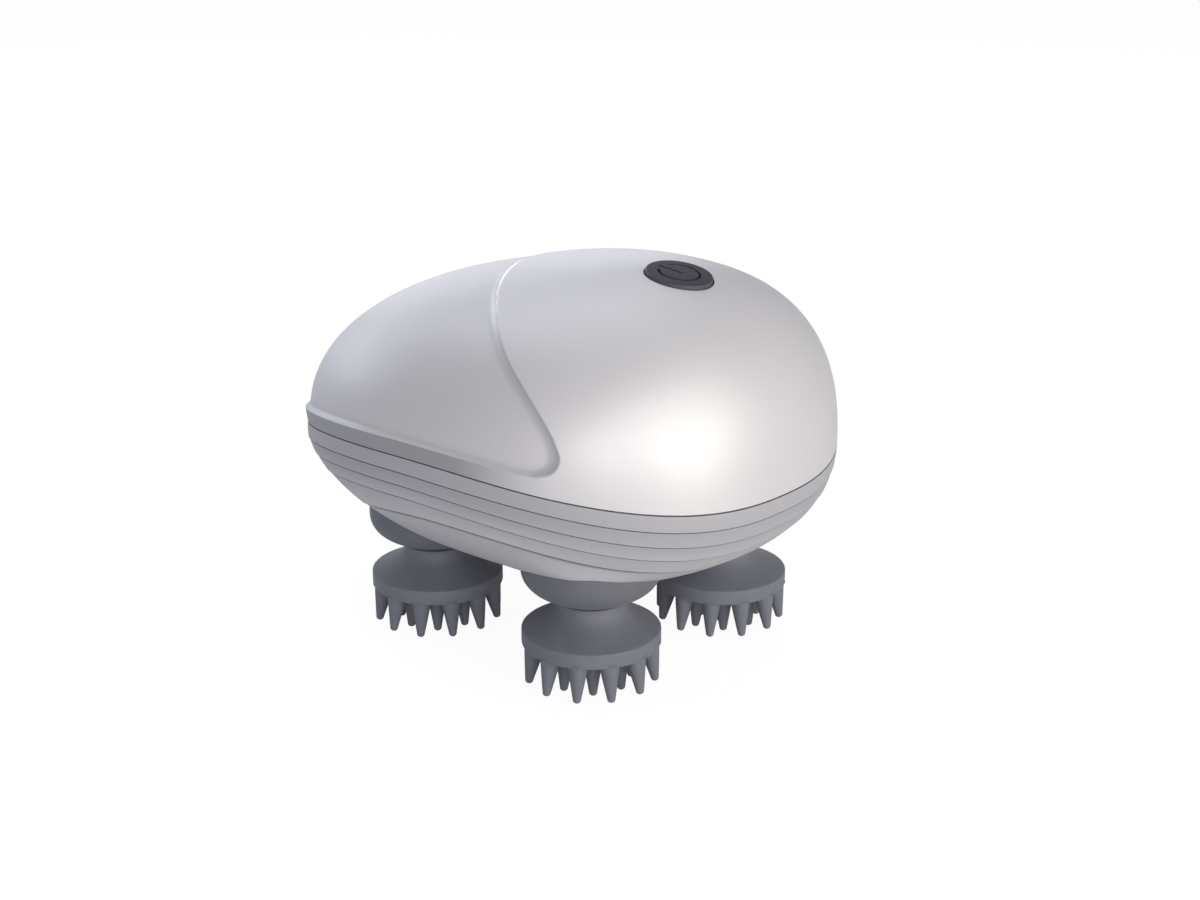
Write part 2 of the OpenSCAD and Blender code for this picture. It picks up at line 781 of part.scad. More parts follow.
module button_seal() {
    color(charcoal)
    at_button()
    translate([0, 0, -3.2])
    difference() {
        cylinder(r = groove_r, h = 0.6);
        translate([0, 0, -1])
        cylinder(r = 2.3, h = 3);
    }
}

module power_button() {
    color(charcoal)
    at_button() {
        translate([0, 0, -1.6])
        cylinder(r = button_r, h = button_h + 1.35);
        translate([0, 0, button_h - 0.25])
        cylinder(r1 = button_r, r2 = button_r - 0.25, h = 0.25);
        translate([0, 0, -4.4 + button_travel])
        cylinder(r = 2, h = 4.4 - button_travel);
    }
}

module charging_pad() {
    color(charcoal)
    translate([mid_x, 0, 0])
    difference() {
        union() {
            translate([0, 0, flat_z - 0.7])
            cylinder(r = 8, h = 3);
            translate([0, 0, floor_z])
            cylinder(r = 9.4, h = 1.4);
        }
        for (s = [-1, 1]) {
            translate([s * 3.4, 0, 10])
            cylinder(r = 1.3, h = 20);
            translate([0, s * 5, flat_z])
            cylinder(r = 2, h = 20);
        }
    }
}

module charging_contacts() {
    color([0.85, 0.7, 0.3])
    for (s = [-1, 1])
        translate([mid_x + s * 3.4, 0, flat_z - 0.6])
        cylinder(r = 1.3, h = 5);
}

module pad_magnets() {
    color(bare_steel)
    for (s = [-1, 1])
        translate([mid_x, s * 5, flat_z])
        cylinder(r = 2, h = 3.4);
}

// straight piece of round wire from a point, along one axis: way 0 is X, 1 is Y, 2 is Z
module wire(from, way, length) {
    translate(from)
    rotate(way == 0 ? [0, 90, 0] : way == 1 ? [-90, 0, 0] : [0, 0, 0])
    cylinder(r = wire_r, h = length);
}

// the motor's two leads run straight to the leaning face of their plug
module motor_leads() {
    z = button_z - motor_lead_drop;
    drop = (motor_lead_drop + motor_plug_x * sin(button_lean)) / cos(button_lean);
    plug_x = button_x - motor_plug_x * cos(button_lean) - drop * sin(button_lean);
    lead_end = plug_x - wire_r * tan(button_lean) - plug_room;
    start = pinion_at[0] + 6.6;
    color([0.7, 0.12, 0.1])
    for (s = [-1, 1])
        wire([start, pinion_at[1] + s * 3.5, z], 0, lead_end - start);
}

module battery_leads() {
    cell_end = mid_x + cell_len / 2;
    lead_z = button_z - cell_lead_drop;
    color([0.7, 0.12, 0.1])
    for (s = [0, 1])
        mirror([0, s, 0]) {
            wire([cell_end, cell_y, cell_z], 0, cell_lead_x + 0.5 - cell_end);
            wire([cell_lead_x, cell_lead_y - 0.5, cell_z], 1, cell_y + 1 - cell_lead_y);
            wire([cell_lead_x, cell_lead_y, cell_z - 0.5], 2, lead_z + 1 - cell_z);
            wire([cell_lead_x, 5, lead_z], 1, cell_lead_y - 4.5);
        }
}

upper_shell();
lower_shell();
seam_seal();
head_bowl(0);  // head_bowl_1
head_bowl(1);  // head_bowl_2
head_bowl(2);  // head_bowl_3
head_bowl(3);  // head_bowl_4
shaft_seal(0);  // shaft_seal_1
shaft_seal(1);  // shaft_seal_2
shaft_seal(2);  // shaft_seal_3
shaft_seal(3);  // shaft_seal_4
shaft_bush(0);  // shaft_bush_1
shaft_bush(1);  // shaft_bush_2
shaft_bush(2);  // shaft_bush_3
shaft_bush(3);  // shaft_bush_4
gearbox_base();
gearbox_cover();
gear_axles();
gearhead();
motor_can();
battery_tray();
battery_cell(-1);  // battery_cell_1
battery_cell(1);  // battery_cell_2
main_board();
board_parts();
tact_switch();
charging_pad();
charging_contacts();
pad_magnets();
shell_screws();
gearbox_screws();
board_screws();
button_seal();
motor_leads();
battery_leads();
massage_head(0);  // massage_head_1
massage_head(1);  // massage_head_2
massage_head(2);  // massage_head_3
massage_head(3);  // massage_head_4
head_core(0);  // head_core_1
head_core(1);  // head_core_2
head_core(2);  // head_core_3
head_core(3);  // head_core_4
head_shaft(0);  // head_shaft_1
head_shaft(1);  // head_shaft_2
head_shaft(2);  // head_shaft_3
head_shaft(3);  // head_shaft_4
head_gear(0);  // head_gear_1
head_gear(1);  // head_gear_2
head_gear(2);  // head_gear_3
head_gear(3);  // head_gear_4
nose_pair_gear();
blunt_pair_gear();
reversing_gear();
output_shaft();
motor_pinion();
power_button();
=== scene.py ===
import bpy
import bmesh
import json
import math
import numpy as np
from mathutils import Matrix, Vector


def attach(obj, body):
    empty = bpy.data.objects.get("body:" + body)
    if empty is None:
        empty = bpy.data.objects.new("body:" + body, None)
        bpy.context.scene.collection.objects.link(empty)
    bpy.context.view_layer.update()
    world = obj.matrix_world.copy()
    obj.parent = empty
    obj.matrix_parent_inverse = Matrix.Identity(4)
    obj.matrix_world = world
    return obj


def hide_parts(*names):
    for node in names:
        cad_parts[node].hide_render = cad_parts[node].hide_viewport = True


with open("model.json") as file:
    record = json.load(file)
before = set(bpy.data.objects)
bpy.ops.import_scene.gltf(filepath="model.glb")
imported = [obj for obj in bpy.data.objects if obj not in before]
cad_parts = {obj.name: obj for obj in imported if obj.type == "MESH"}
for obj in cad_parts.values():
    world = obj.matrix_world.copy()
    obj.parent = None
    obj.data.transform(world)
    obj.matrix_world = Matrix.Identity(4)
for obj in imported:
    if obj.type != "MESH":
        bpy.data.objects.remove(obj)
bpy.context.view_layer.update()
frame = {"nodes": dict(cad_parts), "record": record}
mm = 0.001

# camera, in millimetres and degrees

viewpoint = dict(place=(219.3, -228.1, 142.4), azimuth=42.31, elevation=19.28, focal=53.685, sensor=36)


def makeCamera():
    data = bpy.data.cameras.new("camera")
    data.lens = viewpoint["focal"]
    data.sensor_width = viewpoint["sensor"]
    camera = bpy.data.objects.new("camera", data)
    bpy.context.scene.collection.objects.link(camera)
    turn, rise = math.radians(viewpoint["azimuth"]), math.radians(viewpoint["elevation"])
    back = Vector((math.sin(turn) * math.cos(rise), -math.cos(turn) * math.cos(rise), math.sin(rise)))
    camera.location = Vector(viewpoint["place"]) * mm
    camera.rotation_mode = "QUATERNION"
    camera.rotation_quaternion = (-back).to_track_quat("-Z", "Y")
    bpy.context.scene.camera = camera


makeCamera()
bpy.context.scene.view_settings.view_transform = "Standard"
print("camera placed")


# shader helpers

class Signal:  # a number socket that can be used in plain arithmetic
    def __init__(self, finish, socket):
        self.finish, self.socket = finish, socket

    def join(self, operation, first, second):
        made = self.finish.node("ShaderNodeMath", {"operation": operation}, {0: first, 1: second})
        return Signal(self.finish, made.outputs[0])

    def __add__(self, other):
        return self.join("ADD", self, other)

    def __sub__(self, other):
        return self.join("SUBTRACT", self, other)

    def __rsub__(self, other):
        return self.join("SUBTRACT", other, self)

    def __mul__(self, other):
        return self.join("MULTIPLY", self, other)

    __radd__, __rmul__ = __add__, __mul__


class Finish:  # a material, or the world, and the nodes in it
    def __init__(self, name, store=bpy.data.materials, ending="ShaderNodeOutputMaterial"):
        self.material = store.new(name)
        self.material.use_nodes = True
        self.tree = self.material.node_tree
        self.tree.nodes.clear()
        self.out = self.tree.nodes.new(ending)

    def node(self, kind, settings=None, sockets=None):
        made = self.tree.nodes.new(kind)
        for key, value in (settings or {}).items():
            if key == "stops":
                self.setStops(made.color_ramp, value)
            else:
                setattr(made, key, value)
        for key, value in (sockets or {}).items():
            self.feed(made.inputs[key], value)
        return made

    def feed(self, socket, value):
        if isinstance(value, Signal):
            value = value.socket
        if isinstance(value, bpy.types.NodeSocket):
            self.tree.links.new(value, socket)
        else:
            socket.default_value = value

    def setStops(self, ramp, stops):
        while len(ramp.elements) < len(stops):
            ramp.elements.new(0.5)
        for element, (place, level) in zip(ramp.elements, stops):
            element.position, element.color = place, (level, level, level, 1)

    def spot(self):
        return self.node("ShaderNodeTexCoord").outputs["Object"]

    def grain(self, size, detail=2.0, stretch=(1, 1, 1)):  # noise, its size in millimetres
        place = self.node("ShaderNodeMapping", {}, {"Vector": self.spot(), "Scale": stretch})
        noise = self.node("ShaderNodeTexNoise", {"noise_dimensions": "3D"},
                          {"Vector": place.outputs[0], "Scale": 1 / (size * mm), "Detail": detail})
        return Signal(self, noise.outputs[0])

    def cells(self, size):
        made = self.node("ShaderNodeTexVoronoi", {"feature": "F1"},
                         {"Vector": self.spot(), "Scale": 1 / (size * mm)})
        return made.outputs["Color"]

    def painted(self, name):  # a value stored on the mesh
        return Signal(self, self.node("ShaderNodeAttribute", {"attribute_name": name}).outputs["Fac"])

    def shape(self, signal, stops):
        made = self.node("ShaderNodeValToRGB", {"stops": stops}, {0: signal})
        return Signal(self, made.outputs[0])

    def blend(self, share, first, second, way="MIX"):
        made = self.node("ShaderNodeMix", {"data_type": "RGBA", "blend_type": way},
                         {0: share, 6: first, 7: second})
        return made.outputs[2]

    def relief(self, signal, height, strength=1.0):  # height in millimetres
        sockets = {"Height": signal, "Distance": height * mm, "Strength": strength}
        return self.node("ShaderNodeBump", {}, sockets).outputs[0]

    def surface(self, **sockets):
        named = {key.replace("_", " "): value for key, value in sockets.items()}
        bsdf = self.node("ShaderNodeBsdfPrincipled", {}, named)
        self.tree.links.new(bsdf.outputs[0], self.out.inputs[0])
        return self.material


def shade(red, green, blue, factor=1.0):
    return (red * factor, green * factor, blue * factor, 1)


# finishes, one for each slot of the record

# three of these colours are painted light and shade: a highlight along the recess edge, shadow in its
# cove and shade on the lip
pearl = dict(
    base=(0.70, 0.70, 0.73), cloud=(0.73, 0.72, 0.73), paintedHighlight=(0.99, 0.99, 1.0), cove=(0.1, 0.1, 0.11),
    lip=(0.365, 0.37, 0.4), flakeSize=0.09, flakes=0.025, cloudSize=26, clouds=0.35, metallic=0.35,
    roughness=0.46, uneven=0.06, polished=0.25, peelSize=1.6, peelHeight=0.004,
)
# two of these colours are painted light and shade: light on the lower bands and shade at the laps
satin = dict(
    base=(0.425, 0.43, 0.47), cloud=(0.455, 0.452, 0.488), belly=(0.66, 0.665, 0.71),
    shadow=(0.05, 0.05, 0.055), cloudSize=18, clouds=0.5, roughness=0.42, uneven=0.1,
    sparkSize=0.22, sparkHeight=0.006,
)
silicone = dict(bloomSize=3.4, bloomStops=[(0.38, 0), (0.72, 1)], bloomTint=1.35, roughness=0.56,
                uneven=0.08, skinHeight=0.008)
# the flank colour is painted light on the button's side; the tint for the grooves is painted shade
charcoal = dict(tint=(0.03, 0.026, 0.042), flank=(0.1, 0.098, 0.115), flankLightShare=0.8, grooveShadeTint=0.2,
                roughness=0.45, grooveRoughness=0.3)


def pearlWhite():  # sprayed pearl on the upper shell: fine flakes, faint clouds, painted light and shade
    f = Finish("pearlWhite")
    lip, gleam, cove = f.painted("lip"), f.painted("gleam"), f.painted("coveShadow")
    flakes = f.blend(pearl["flakes"], shade(*pearl["base"]), f.cells(pearl["flakeSize"]), "OVERLAY")
    clouded = f.blend(f.grain(pearl["cloudSize"], 3) * pearl["clouds"], flakes, shade(*pearl["cloud"]))
    # painted highlight along the recess edge and painted glow on the cove beside it
    paintedHighlight = f.blend(gleam, clouded, shade(*pearl["paintedHighlight"]))
    # painted shadow in the cove beside the edge and a little painted shade over the recess floor
    shaded = f.blend(cove, paintedHighlight, shade(*pearl["cove"]))
    # painted shade darkens the lip band below the recess
    colour = f.blend(lip, shaded, shade(*pearl["lip"]))
    orangePeel = f.grain(pearl["peelSize"], 1)
    rough = f.grain(9, 3) * pearl["uneven"] + pearl["roughness"] - gleam * pearl["polished"]
    return f.surface(Base_Color=colour, Metallic=pearl["metallic"], Roughness=rough,
                     Specular_IOR_Level=0.5, Normal=f.relief(orangePeel, pearl["peelHeight"], 0.5))


def lightGrey():  # moulded satin plastic of the lower shell, with painted shade at the laps and painted light on the lower bands
    f = Finish("lightGrey")
    plain = f.blend(f.grain(satin["cloudSize"], 3) * satin["clouds"], shade(*satin["base"]),
                    shade(*satin["cloud"]))
    # painted light lifts the lower bands
    lower = f.blend(f.painted("belly"), plain, shade(*satin["belly"]))
    colour = f.blend(f.painted("lapShadow"), lower, shade(*satin["shadow"]))
    spark = f.grain(satin["sparkSize"], 2)
    return f.surface(Base_Color=colour, Roughness=f.grain(6, 3) * satin["uneven"] + satin["roughness"],
                     Specular_IOR_Level=0.45, Normal=f.relief(spark, satin["sparkHeight"], 0.45))


def slateRubber(name, tint, wear):  # soft silicone with a dusty bloom
    f = Finish(name)
    bloom = f.shape(f.grain(silicone["bloomSize"], 4), silicone["bloomStops"])
    colour = f.blend(bloom * wear, shade(*tint), shade(*tint, silicone["bloomTint"]))
    skin = f.grain(0.14, 3) + f.grain(0.7, 2) * 0.6
    return f.surface(Base_Color=colour, Roughness=bloom * silicone["uneven"] + silicone["roughness"],
                     Specular_IOR_Level=0.4, Sheen_Weight=0.1, Sheen_Roughness=0.5,
                     Normal=f.relief(skin, silicone["skinHeight"], 0.5))


def mouldedPlastic(name, tint, rough, grainSize=0.2, height=0.006, coat=0.0):
    f = Finish(name)
    colour = f.blend(f.grain(5, 3) * 0.6, shade(*tint), shade(*tint, 1.12))
    return f.surface(Base_Color=colour, Roughness=f.grain(1.5, 3) * 0.12 + (rough - 0.06),
                     Coat_Weight=coat, Normal=f.relief(f.grain(grainSize, 2), height, 0.5))


def buttonFinish():  # matt charcoal with painted light on its flank and painted shade in the sign's grooves
    f = Finish("buttonCharcoal")
    inlay, flank, tint = f.painted("inlay"), f.painted("flank"), charcoal["tint"]
    plain = f.blend(f.grain(5, 3) * 0.5, shade(*tint), shade(*tint, 1.12))
    # painted light on the button's side
    sided = f.blend(flank * charcoal["flankLightShare"], plain, shade(*charcoal["flank"]))
    # painted shade in the sign's grooves
    colour = f.blend(inlay, sided, shade(*tint, charcoal["grooveShadeTint"]))
    rough = f.grain(1.5, 3) * 0.1 + charcoal["roughness"] + inlay * charcoal["grooveRoughness"]
    return f.surface(Base_Color=colour, Roughness=rough, Specular_IOR_Level=0.3,
                     Normal=f.relief(f.grain(0.16, 2), 0.008, 0.4))


def brushedMetal(name, tint, rough, stretch=(1, 1, 14)):
    f = Finish(name)
    lines = f.grain(0.25, 3, stretch)
    colour = f.blend(lines * 0.4, shade(*tint), shade(*tint, 0.82))
    return f.surface(Base_Color=colour, Metallic=1.0, Roughness=lines * 0.2 + (rough - 0.1),
                     Normal=f.relief(lines, 0.003, 0.5))


def solderMask():  # green board with copper tracks showing through
    f = Finish("boardGreen")
    tracks = f.shape(f.grain(1.4, 0, (1, 4, 1)), [(0.49, 0), (0.52, 1)])
    colour = f.blend(tracks * 0.6, shade(0.012, 0.09, 0.04), shade(0.03, 0.19, 0.08))
    return f.surface(Base_Color=colour, Roughness=0.34 - tracks * 0.06, Coat_Weight=0.4,
                     Normal=f.relief(tracks, 0.03, 0.6))


finishes = {
    "pearl_white": pearlWhite(),
    "light_grey": lightGrey(),
    "bowl_slate": slateRubber("bowlSlate", (0.132, 0.141, 0.17), 0.3),
    "head_slate": slateRubber("headSlate", (0.163, 0.174, 0.212), 0.3),
    "seam_black": mouldedPlastic("seamBlack", (0.016, 0.016, 0.019), 0.7),
    "button_charcoal": buttonFinish(),
    "inner_plastic": mouldedPlastic("innerPlastic", (0.6, 0.6, 0.57), 0.5),
    "gear_plastic": mouldedPlastic("gearPlastic", (0.68, 0.64, 0.52), 0.38, coat=0.1),
    "tray_plastic": mouldedPlastic("trayPlastic", (0.05, 0.05, 0.055), 0.55),
    "cell_wrap": mouldedPlastic("cellWrap", (0.05, 0.14, 0.34), 0.3, 0.6, 0.01, 0.3),
    "part_black": mouldedPlastic("partBlack", (0.015, 0.015, 0.017), 0.45, 0.12, 0.01),
    "lead_red": mouldedPlastic("leadRed", (0.45, 0.015, 0.01), 0.4),
    "bronze": brushedMetal("bronze", (0.5, 0.31, 0.12), 0.38),
    "steel": brushedMetal("steel", (0.56, 0.57, 0.58), 0.34),
    "contact_gold": brushedMetal("contactGold", (0.83, 0.6, 0.22), 0.26, (3, 3, 3)),
    "board_green": solderMask(),
}

for part in frame["record"]["subparts"]:
    node = frame["nodes"].get(part["node"])
    if node:
        node.data.materials.clear()
        node.data.materials.append(finishes[part["material_slot"]])
print("finishes made:", len(finishes))


# the egg: its outline, dome and bowl, in millimetres

egg = dict(
    widestAt=1, noseLength=54.2, bluntLength=52.2, halfWidth=42.8, noseRound=1.85, bluntRound=2.37,
    crownAt=23.3, crownHeight=70.3, domeRound=(2.22, 2.42, 2.21),
    bowlAt=-0.7, bowlHeight=13.6, bowlRound=(1.94, 2.21, 1.97), flatHeight=16.5, wall=2.4,
    jointTop=42.7, jointMiddle=7.9, jointBend=0.0031, jointGap=0.08,
)


def signedPower(value, power):
    return np.sign(value) * np.abs(value) ** power


def archHeight(x, top, middle, bend):
    return top - bend * (x - middle) ** 2


def jointHeight(x):
    return archHeight(x, egg["jointTop"], egg["jointMiddle"], egg["jointBend"])


def outlinePoint(turn, inset):
    along, across = np.cos(turn), np.sin(turn)
    power = 2 / np.where(along < 0, egg["noseRound"], egg["bluntRound"])
    length = np.where(along < 0, egg["noseLength"], egg["bluntLength"]) - inset
    return (egg["widestAt"] + length * signedPower(along, power),
            (egg["halfWidth"] - inset) * signedPower(across, power))


def roundness(turn, kind):  # changes smoothly from the ends to the sides
    nose, blunt, side = egg[kind]
    along = np.cos(turn)
    return np.where(along < 0, nose, blunt) * along ** 2 + side * (1 - along ** 2)


def domePoint(turn, out, inset):  # out runs from 0 at the crown to 1 at the joint
    power = roundness(turn, "domeRound")
    up = np.maximum(1 - out ** power, 0) ** (1 / power)
    x, y = outlinePoint(turn, inset)
    low = jointHeight(x) + egg["jointGap"] / 2
    return np.stack([egg["crownAt"] + (x - egg["crownAt"]) * out, y * out,
                     low * (1 - up) + (egg["crownHeight"] - inset) * up], -1)


def bowlPoint(turn, down, inset):  # down runs from 0 at the joint to 1 at the lowest point
    power = roundness(turn, "bowlRound")
    out = np.maximum(1 - down ** power, 0) ** (1 / power)
    x, y = outlinePoint(turn, inset)
    high = jointHeight(x) - egg["jointGap"] / 2
    return np.stack([egg["bowlAt"] + (x - egg["bowlAt"]) * out, y * out,
                     high * (1 - down) + (egg["bowlHeight"] + inset) * down], -1)


def makeObject(name, mesh, slot, body, stands, move=(0, 0, 0)):
    mesh.materials.append(finishes[slot])
    made = bpy.data.objects.new(name, mesh)
    made.location = Vector(move) * mm
    bpy.context.scene.collection.objects.link(made)
    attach(made, body)
    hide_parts(stands)


def smoothMesh(name, points, faces, normals=None):  # points in millimetres; zero normals stay automatic
    mesh = bpy.data.meshes.new(name)
    mesh.from_pydata([tuple(p) for p in np.asarray(points) * mm], [], faces)
    mesh.polygons.foreach_set("use_smooth", [True] * len(mesh.polygons))
    if normals is not None:
        mesh.normals_split_custom_set_from_vertices([tuple(n) for n in normals])
    mesh.update()
    return mesh


def paint(mesh, name, values):  # stores a value on each point, nothing on the rest
    layer = mesh.attributes.new(name, "FLOAT", "POINT")
    layer.data.foreach_set("value", list(values) + [0.0] * (len(mesh.vertices) - len(values)))


# upper shell

recess = dict(
    depth=0.9, lip=2.88, cove=2.0, lipCove=0.9, coveCurve=1.9,
    edgeRound=0.2, cornerRound=4.6, crownRound=6,
    top=((-4.8, 68.6), (-4.2, 62), (6, 46.5), (18.1, 31.8)),
    side=((18.1, 31.8), (25.6, 22.7), (34.9, 16.8), (34.9, 11.6)),
    hook=((34.9, 11.6), (34.9, 9.2), (34.3, 6.7), (32.6, 3.2)), curveSteps=24,
    lipLean=0.45, lipFade=(14, 35), lipShadeEdge=0.2, nearLip=6,
)
light = dict(  # painted highlight and shadow on the upper shell: where along the edge, how strong, how wide
    gleamAt=(38, 44, 60, 64.5), gleamMiddle=-0.12, gleamWidth=0.26,
    glowAt=(32, 40, 44, 50), glow=0.26, glowMiddle=0.7, glowWidth=0.5,
    coveShadow=0.26, lipShadow=0.2, shadowReach=1.9, shadowCurve=1.5, shadowStart=0.1, tone=0.06,
)
button = dict(at=29.8, height=69.948, lean=7.7, radius=5.84, gap=0.16, edge=0.28)
dome = dict(turns=380, rings=104, rimRound=0.03, holeRound=0.14, holeDepth=3.0, swellAt=22, swell=0.75,
            swellReach=12, swellTail=0.02)
tracing = dict(turns=721, outs=361, neighbours=12, within=1, soft=0.01, smoothings=3)
cuts = dict(before=(-0.6, -0.45, -0.32), onEdge=7, after=(0.4, 0.65), between=1.4, hole=(0, 0.02, 0.06),
            halvings=12, probe=2e-4, probeShrink=0.9995)

buttonCentre = np.array([button["at"], 0, button["height"]])
buttonAxis = np.array([math.sin(math.radians(button["lean"])), 0, math.cos(math.radians(button["lean"]))])


def curvePoints(corners, count):
    s = np.linspace(0, 1, count)[:, None]
    a, b, c, d = (np.array(p, float) for p in corners)
    return a * (1 - s) ** 3 + 3 * b * s * (1 - s) ** 2 + 3 * c * s * s * (1 - s) + d * s ** 3


def sheetPoint(flat, inset=0.0):  # flat holds places on a unit disc: the crown is its middle
    turn = np.arctan2(flat[:, 1], flat[:, 0])
    reach = np.minimum(np.hypot(flat[:, 0], flat[:, 1]), 1)
    return domePoint(turn, np.sin(reach * math.pi / 2), inset)


def leanOf(points):  # height less distance from the middle, rounded off where the two sides meet
    aside, r = np.abs(points[:, 1]), recess["crownRound"]
    return points[:, 2] - np.where(aside < r, aside ** 2 / (2 * r) + r / 2, aside)


def recessOutline():  # x, and height less distance from the middle; its end runs on below the dome
    curves = [curvePoints(recess[key], recess["curveSteps"]) for key in ("top", "side", "hook")]
    end = curves[-1][-1]
    return np.concatenate(curves + [np.array([[end[0] - 8, end[1] - 6], [end[0] - 8, -60]])])


def onDome(outline):  # the same outline as points of the dome's near side
    turns, outs = np.meshgrid(np.linspace(math.pi, 2 * math.pi, tracing["turns"]),
                              np.linspace(0, 1, tracing["outs"]))
    grid = domePoint(turns.ravel(), outs.ravel(), 0.0)
    x, lean = grid[:, 0], leanOf(grid)
    found = []
    for place in outline:
        near = np.argsort((x - place[0]) ** 2 + (lean - place[1]) ** 2)[:tracing["neighbours"]]
        if np.hypot(x[near[0]] - place[0], lean[near[0]] - place[1]) < tracing["within"]:
            weight = 1 / (tracing["soft"] + (x[near] - place[0]) ** 2 + (lean[near] - place[1]) ** 2)
            found.append((grid[near] * weight[:, None]).sum(0) / weight.sum())
    found = np.array(found)
    for _ in range(tracing["smoothings"]):
        found[1:-1] = (found[:-2] + 2 * found[1:-1] + found[2:]) / 4
    return found


def insideOutline(x, lean, outline):  # closed far off on the nose side, then crossings counted
    loop = np.concatenate([[(-90, 90), (outline[0, 0], 90)], outline, [(-90, -60)]])
    inside = np.zeros(len(x), bool)
    for (x1, lean1), (x2, lean2) in zip(loop, np.roll(loop, -1, 0)):
        if lean1 != lean2:
            crossing = (x2 - x1) * (lean - lean1) / (lean2 - lean1) + x1
            inside ^= ((lean1 > lean) != (lean2 > lean)) & (x < crossing)
    return inside


def lineDistance(points, line):
    best = np.full(len(points), 1e9)
    for a, b in zip(line[:-1], line[1:]):
        way = b - a
        share = np.clip((points - a) @ way / max(way @ way, 1e-9), 0, 1)
        best = np.minimum(best, ((points - a - share[:, None] * way) ** 2).sum(1))
    return np.sqrt(best)


edgeOutline = recessOutline()
edgeLine = onDome(edgeOutline)


def recessDistances(points):  # from the swept edge and from the lip, positive inside the recess
    side = np.stack([points[:, 0], -np.abs(points[:, 1]), points[:, 2]], -1)
    inside = insideOutline(side[:, 0], leanOf(side), edgeOutline)
    fromEdge = lineDistance(side, edgeLine) * np.where(inside, 1, -1)
    fromLip = side[:, 2] - jointHeight(side[:, 0]) - egg["jointGap"] / 2 - recess["lip"]
    return fromEdge, fromLip


def recessDistance(points):  # from the nearer of the two, with their corner rounded
    fromEdge, fromLip = recessDistances(points)
    corner = recess["cornerRound"]
    rounding = np.maximum(corner - np.abs(fromEdge - fromLip), 0) ** 2 / 4 / corner
    return np.minimum(fromEdge, fromLip) - rounding


def nearLip(points):  # 0 beside the swept edge and 1 beside the lip, with a mix at the hook
    fromEdge, fromLip = recessDistances(points)
    return np.clip(0.5 + (fromEdge - fromLip) / recess["nearLip"], 0, 1)


def recessDepth(points):  # a narrow rounded edge, then a cove down to the floor, shorter at the lip
    distance, edge, curve = recessDistance(points), recess["edgeRound"], recess["coveCurve"]
    width = recess["cove"] + (recess["lipCove"] - recess["cove"]) * nearLip(points)
    slope = recess["depth"] * curve / width
    cove = recess["depth"] * (1 - np.clip(1 - distance / width, 0, 1) ** curve)
    start = slope * (distance + edge) ** 2 / (4 * edge)
    join = slope * edge - recess["depth"] * (1 - (1 - edge / width) ** curve)
    fade = np.clip(1 - (distance - edge) / width, 0, 1)
    return np.where(distance < -edge, 0, np.where(distance < edge, start, cove + join * fade))


def holeDistance(points):
    away = points - buttonCentre
    aside = away - (away @ buttonAxis)[:, None] * buttonAxis
    return np.linalg.norm(aside, axis=1) - button["radius"] - button["gap"]


def roundOver(distance, radius):  # how much a rounded edge takes off at this distance from it
    return radius - np.sqrt(np.maximum(radius ** 2 - (radius - np.clip(distance, 0, radius)) ** 2, 0))


def lipShare(x):  # the lip under the recess fades out towards the blunt end
    start, end = recess["lipFade"]
    share = np.clip((end - x) / (end - start), 0, 1)
    return share * share * (3 - 2 * share)


def lipInset(points):  # the lip leans in towards the joint
    above = points[:, 2] - jointHeight(points[:, 0]) - egg["jointGap"] / 2
    return recess["lipLean"] * lipShare(points[:, 0]) * np.clip(1 - above / recess["lip"], 0, 1)


def gleamShare(points):  # painted highlight: the edge is brighter near the crown, and lower down a painted glow on the cove beside it
    lean, distance = leanOf(points), recessDistance(points)
    gleam = np.interp(lean, light["gleamAt"], (0, 1, 1, 0))
    gleam = gleam * np.exp(-((distance - light["gleamMiddle"]) / light["gleamWidth"]) ** 2)
    glow = np.interp(lean, light["glowAt"], (0, light["glow"], light["glow"], 0))
    glow = glow * np.exp(-((distance - light["glowMiddle"]) / light["glowWidth"]) ** 2)
    return np.minimum(gleam + glow, 1)


def coveShade(points):  # painted shadow: elsewhere its cove is darker beside the edge, and the whole recess floor a little darker
    distance = recessDistance(points)
    strength = light["coveShadow"] + (light["lipShadow"] - light["coveShadow"]) * nearLip(points)
    strength = strength * np.interp(leanOf(points), light["glowAt"][:2], (1, 0))
    fade = np.clip(1 - distance / light["shadowReach"], 0, 1) ** light["shadowCurve"]
    return np.clip(distance / light["shadowStart"], 0, 1) * (strength * fade + light["tone"])


def swelling(points):  # the dome rises a little on the nose side of the button
    away = (points[:, 0] - dome["swellAt"]) ** 2 + points[:, 1] ** 2
    return dome["swell"] * np.maximum(np.exp(-away / dome["swellReach"] ** 2) - dome["swellTail"], 0)


def shellPoint(flat):
    base = sheetPoint(flat)
    hole = roundOver(holeDistance(base), dome["holeRound"])
    return sheetPoint(flat, recessDepth(base) + hole + lipInset(base) - swelling(base))


def shellNormals(flat):  # from the way the form changes a hair's breadth to each side
    step, inner = cuts["probe"], flat * cuts["probeShrink"]
    aside = shellPoint(inner + (step, 0)) - shellPoint(inner - (step, 0))
    along = shellPoint(inner + (0, step)) - shellPoint(inner - (0, step))
    normals = np.cross(aside, along)
    return normals / np.linalg.norm(normals, axis=1)[:, None]


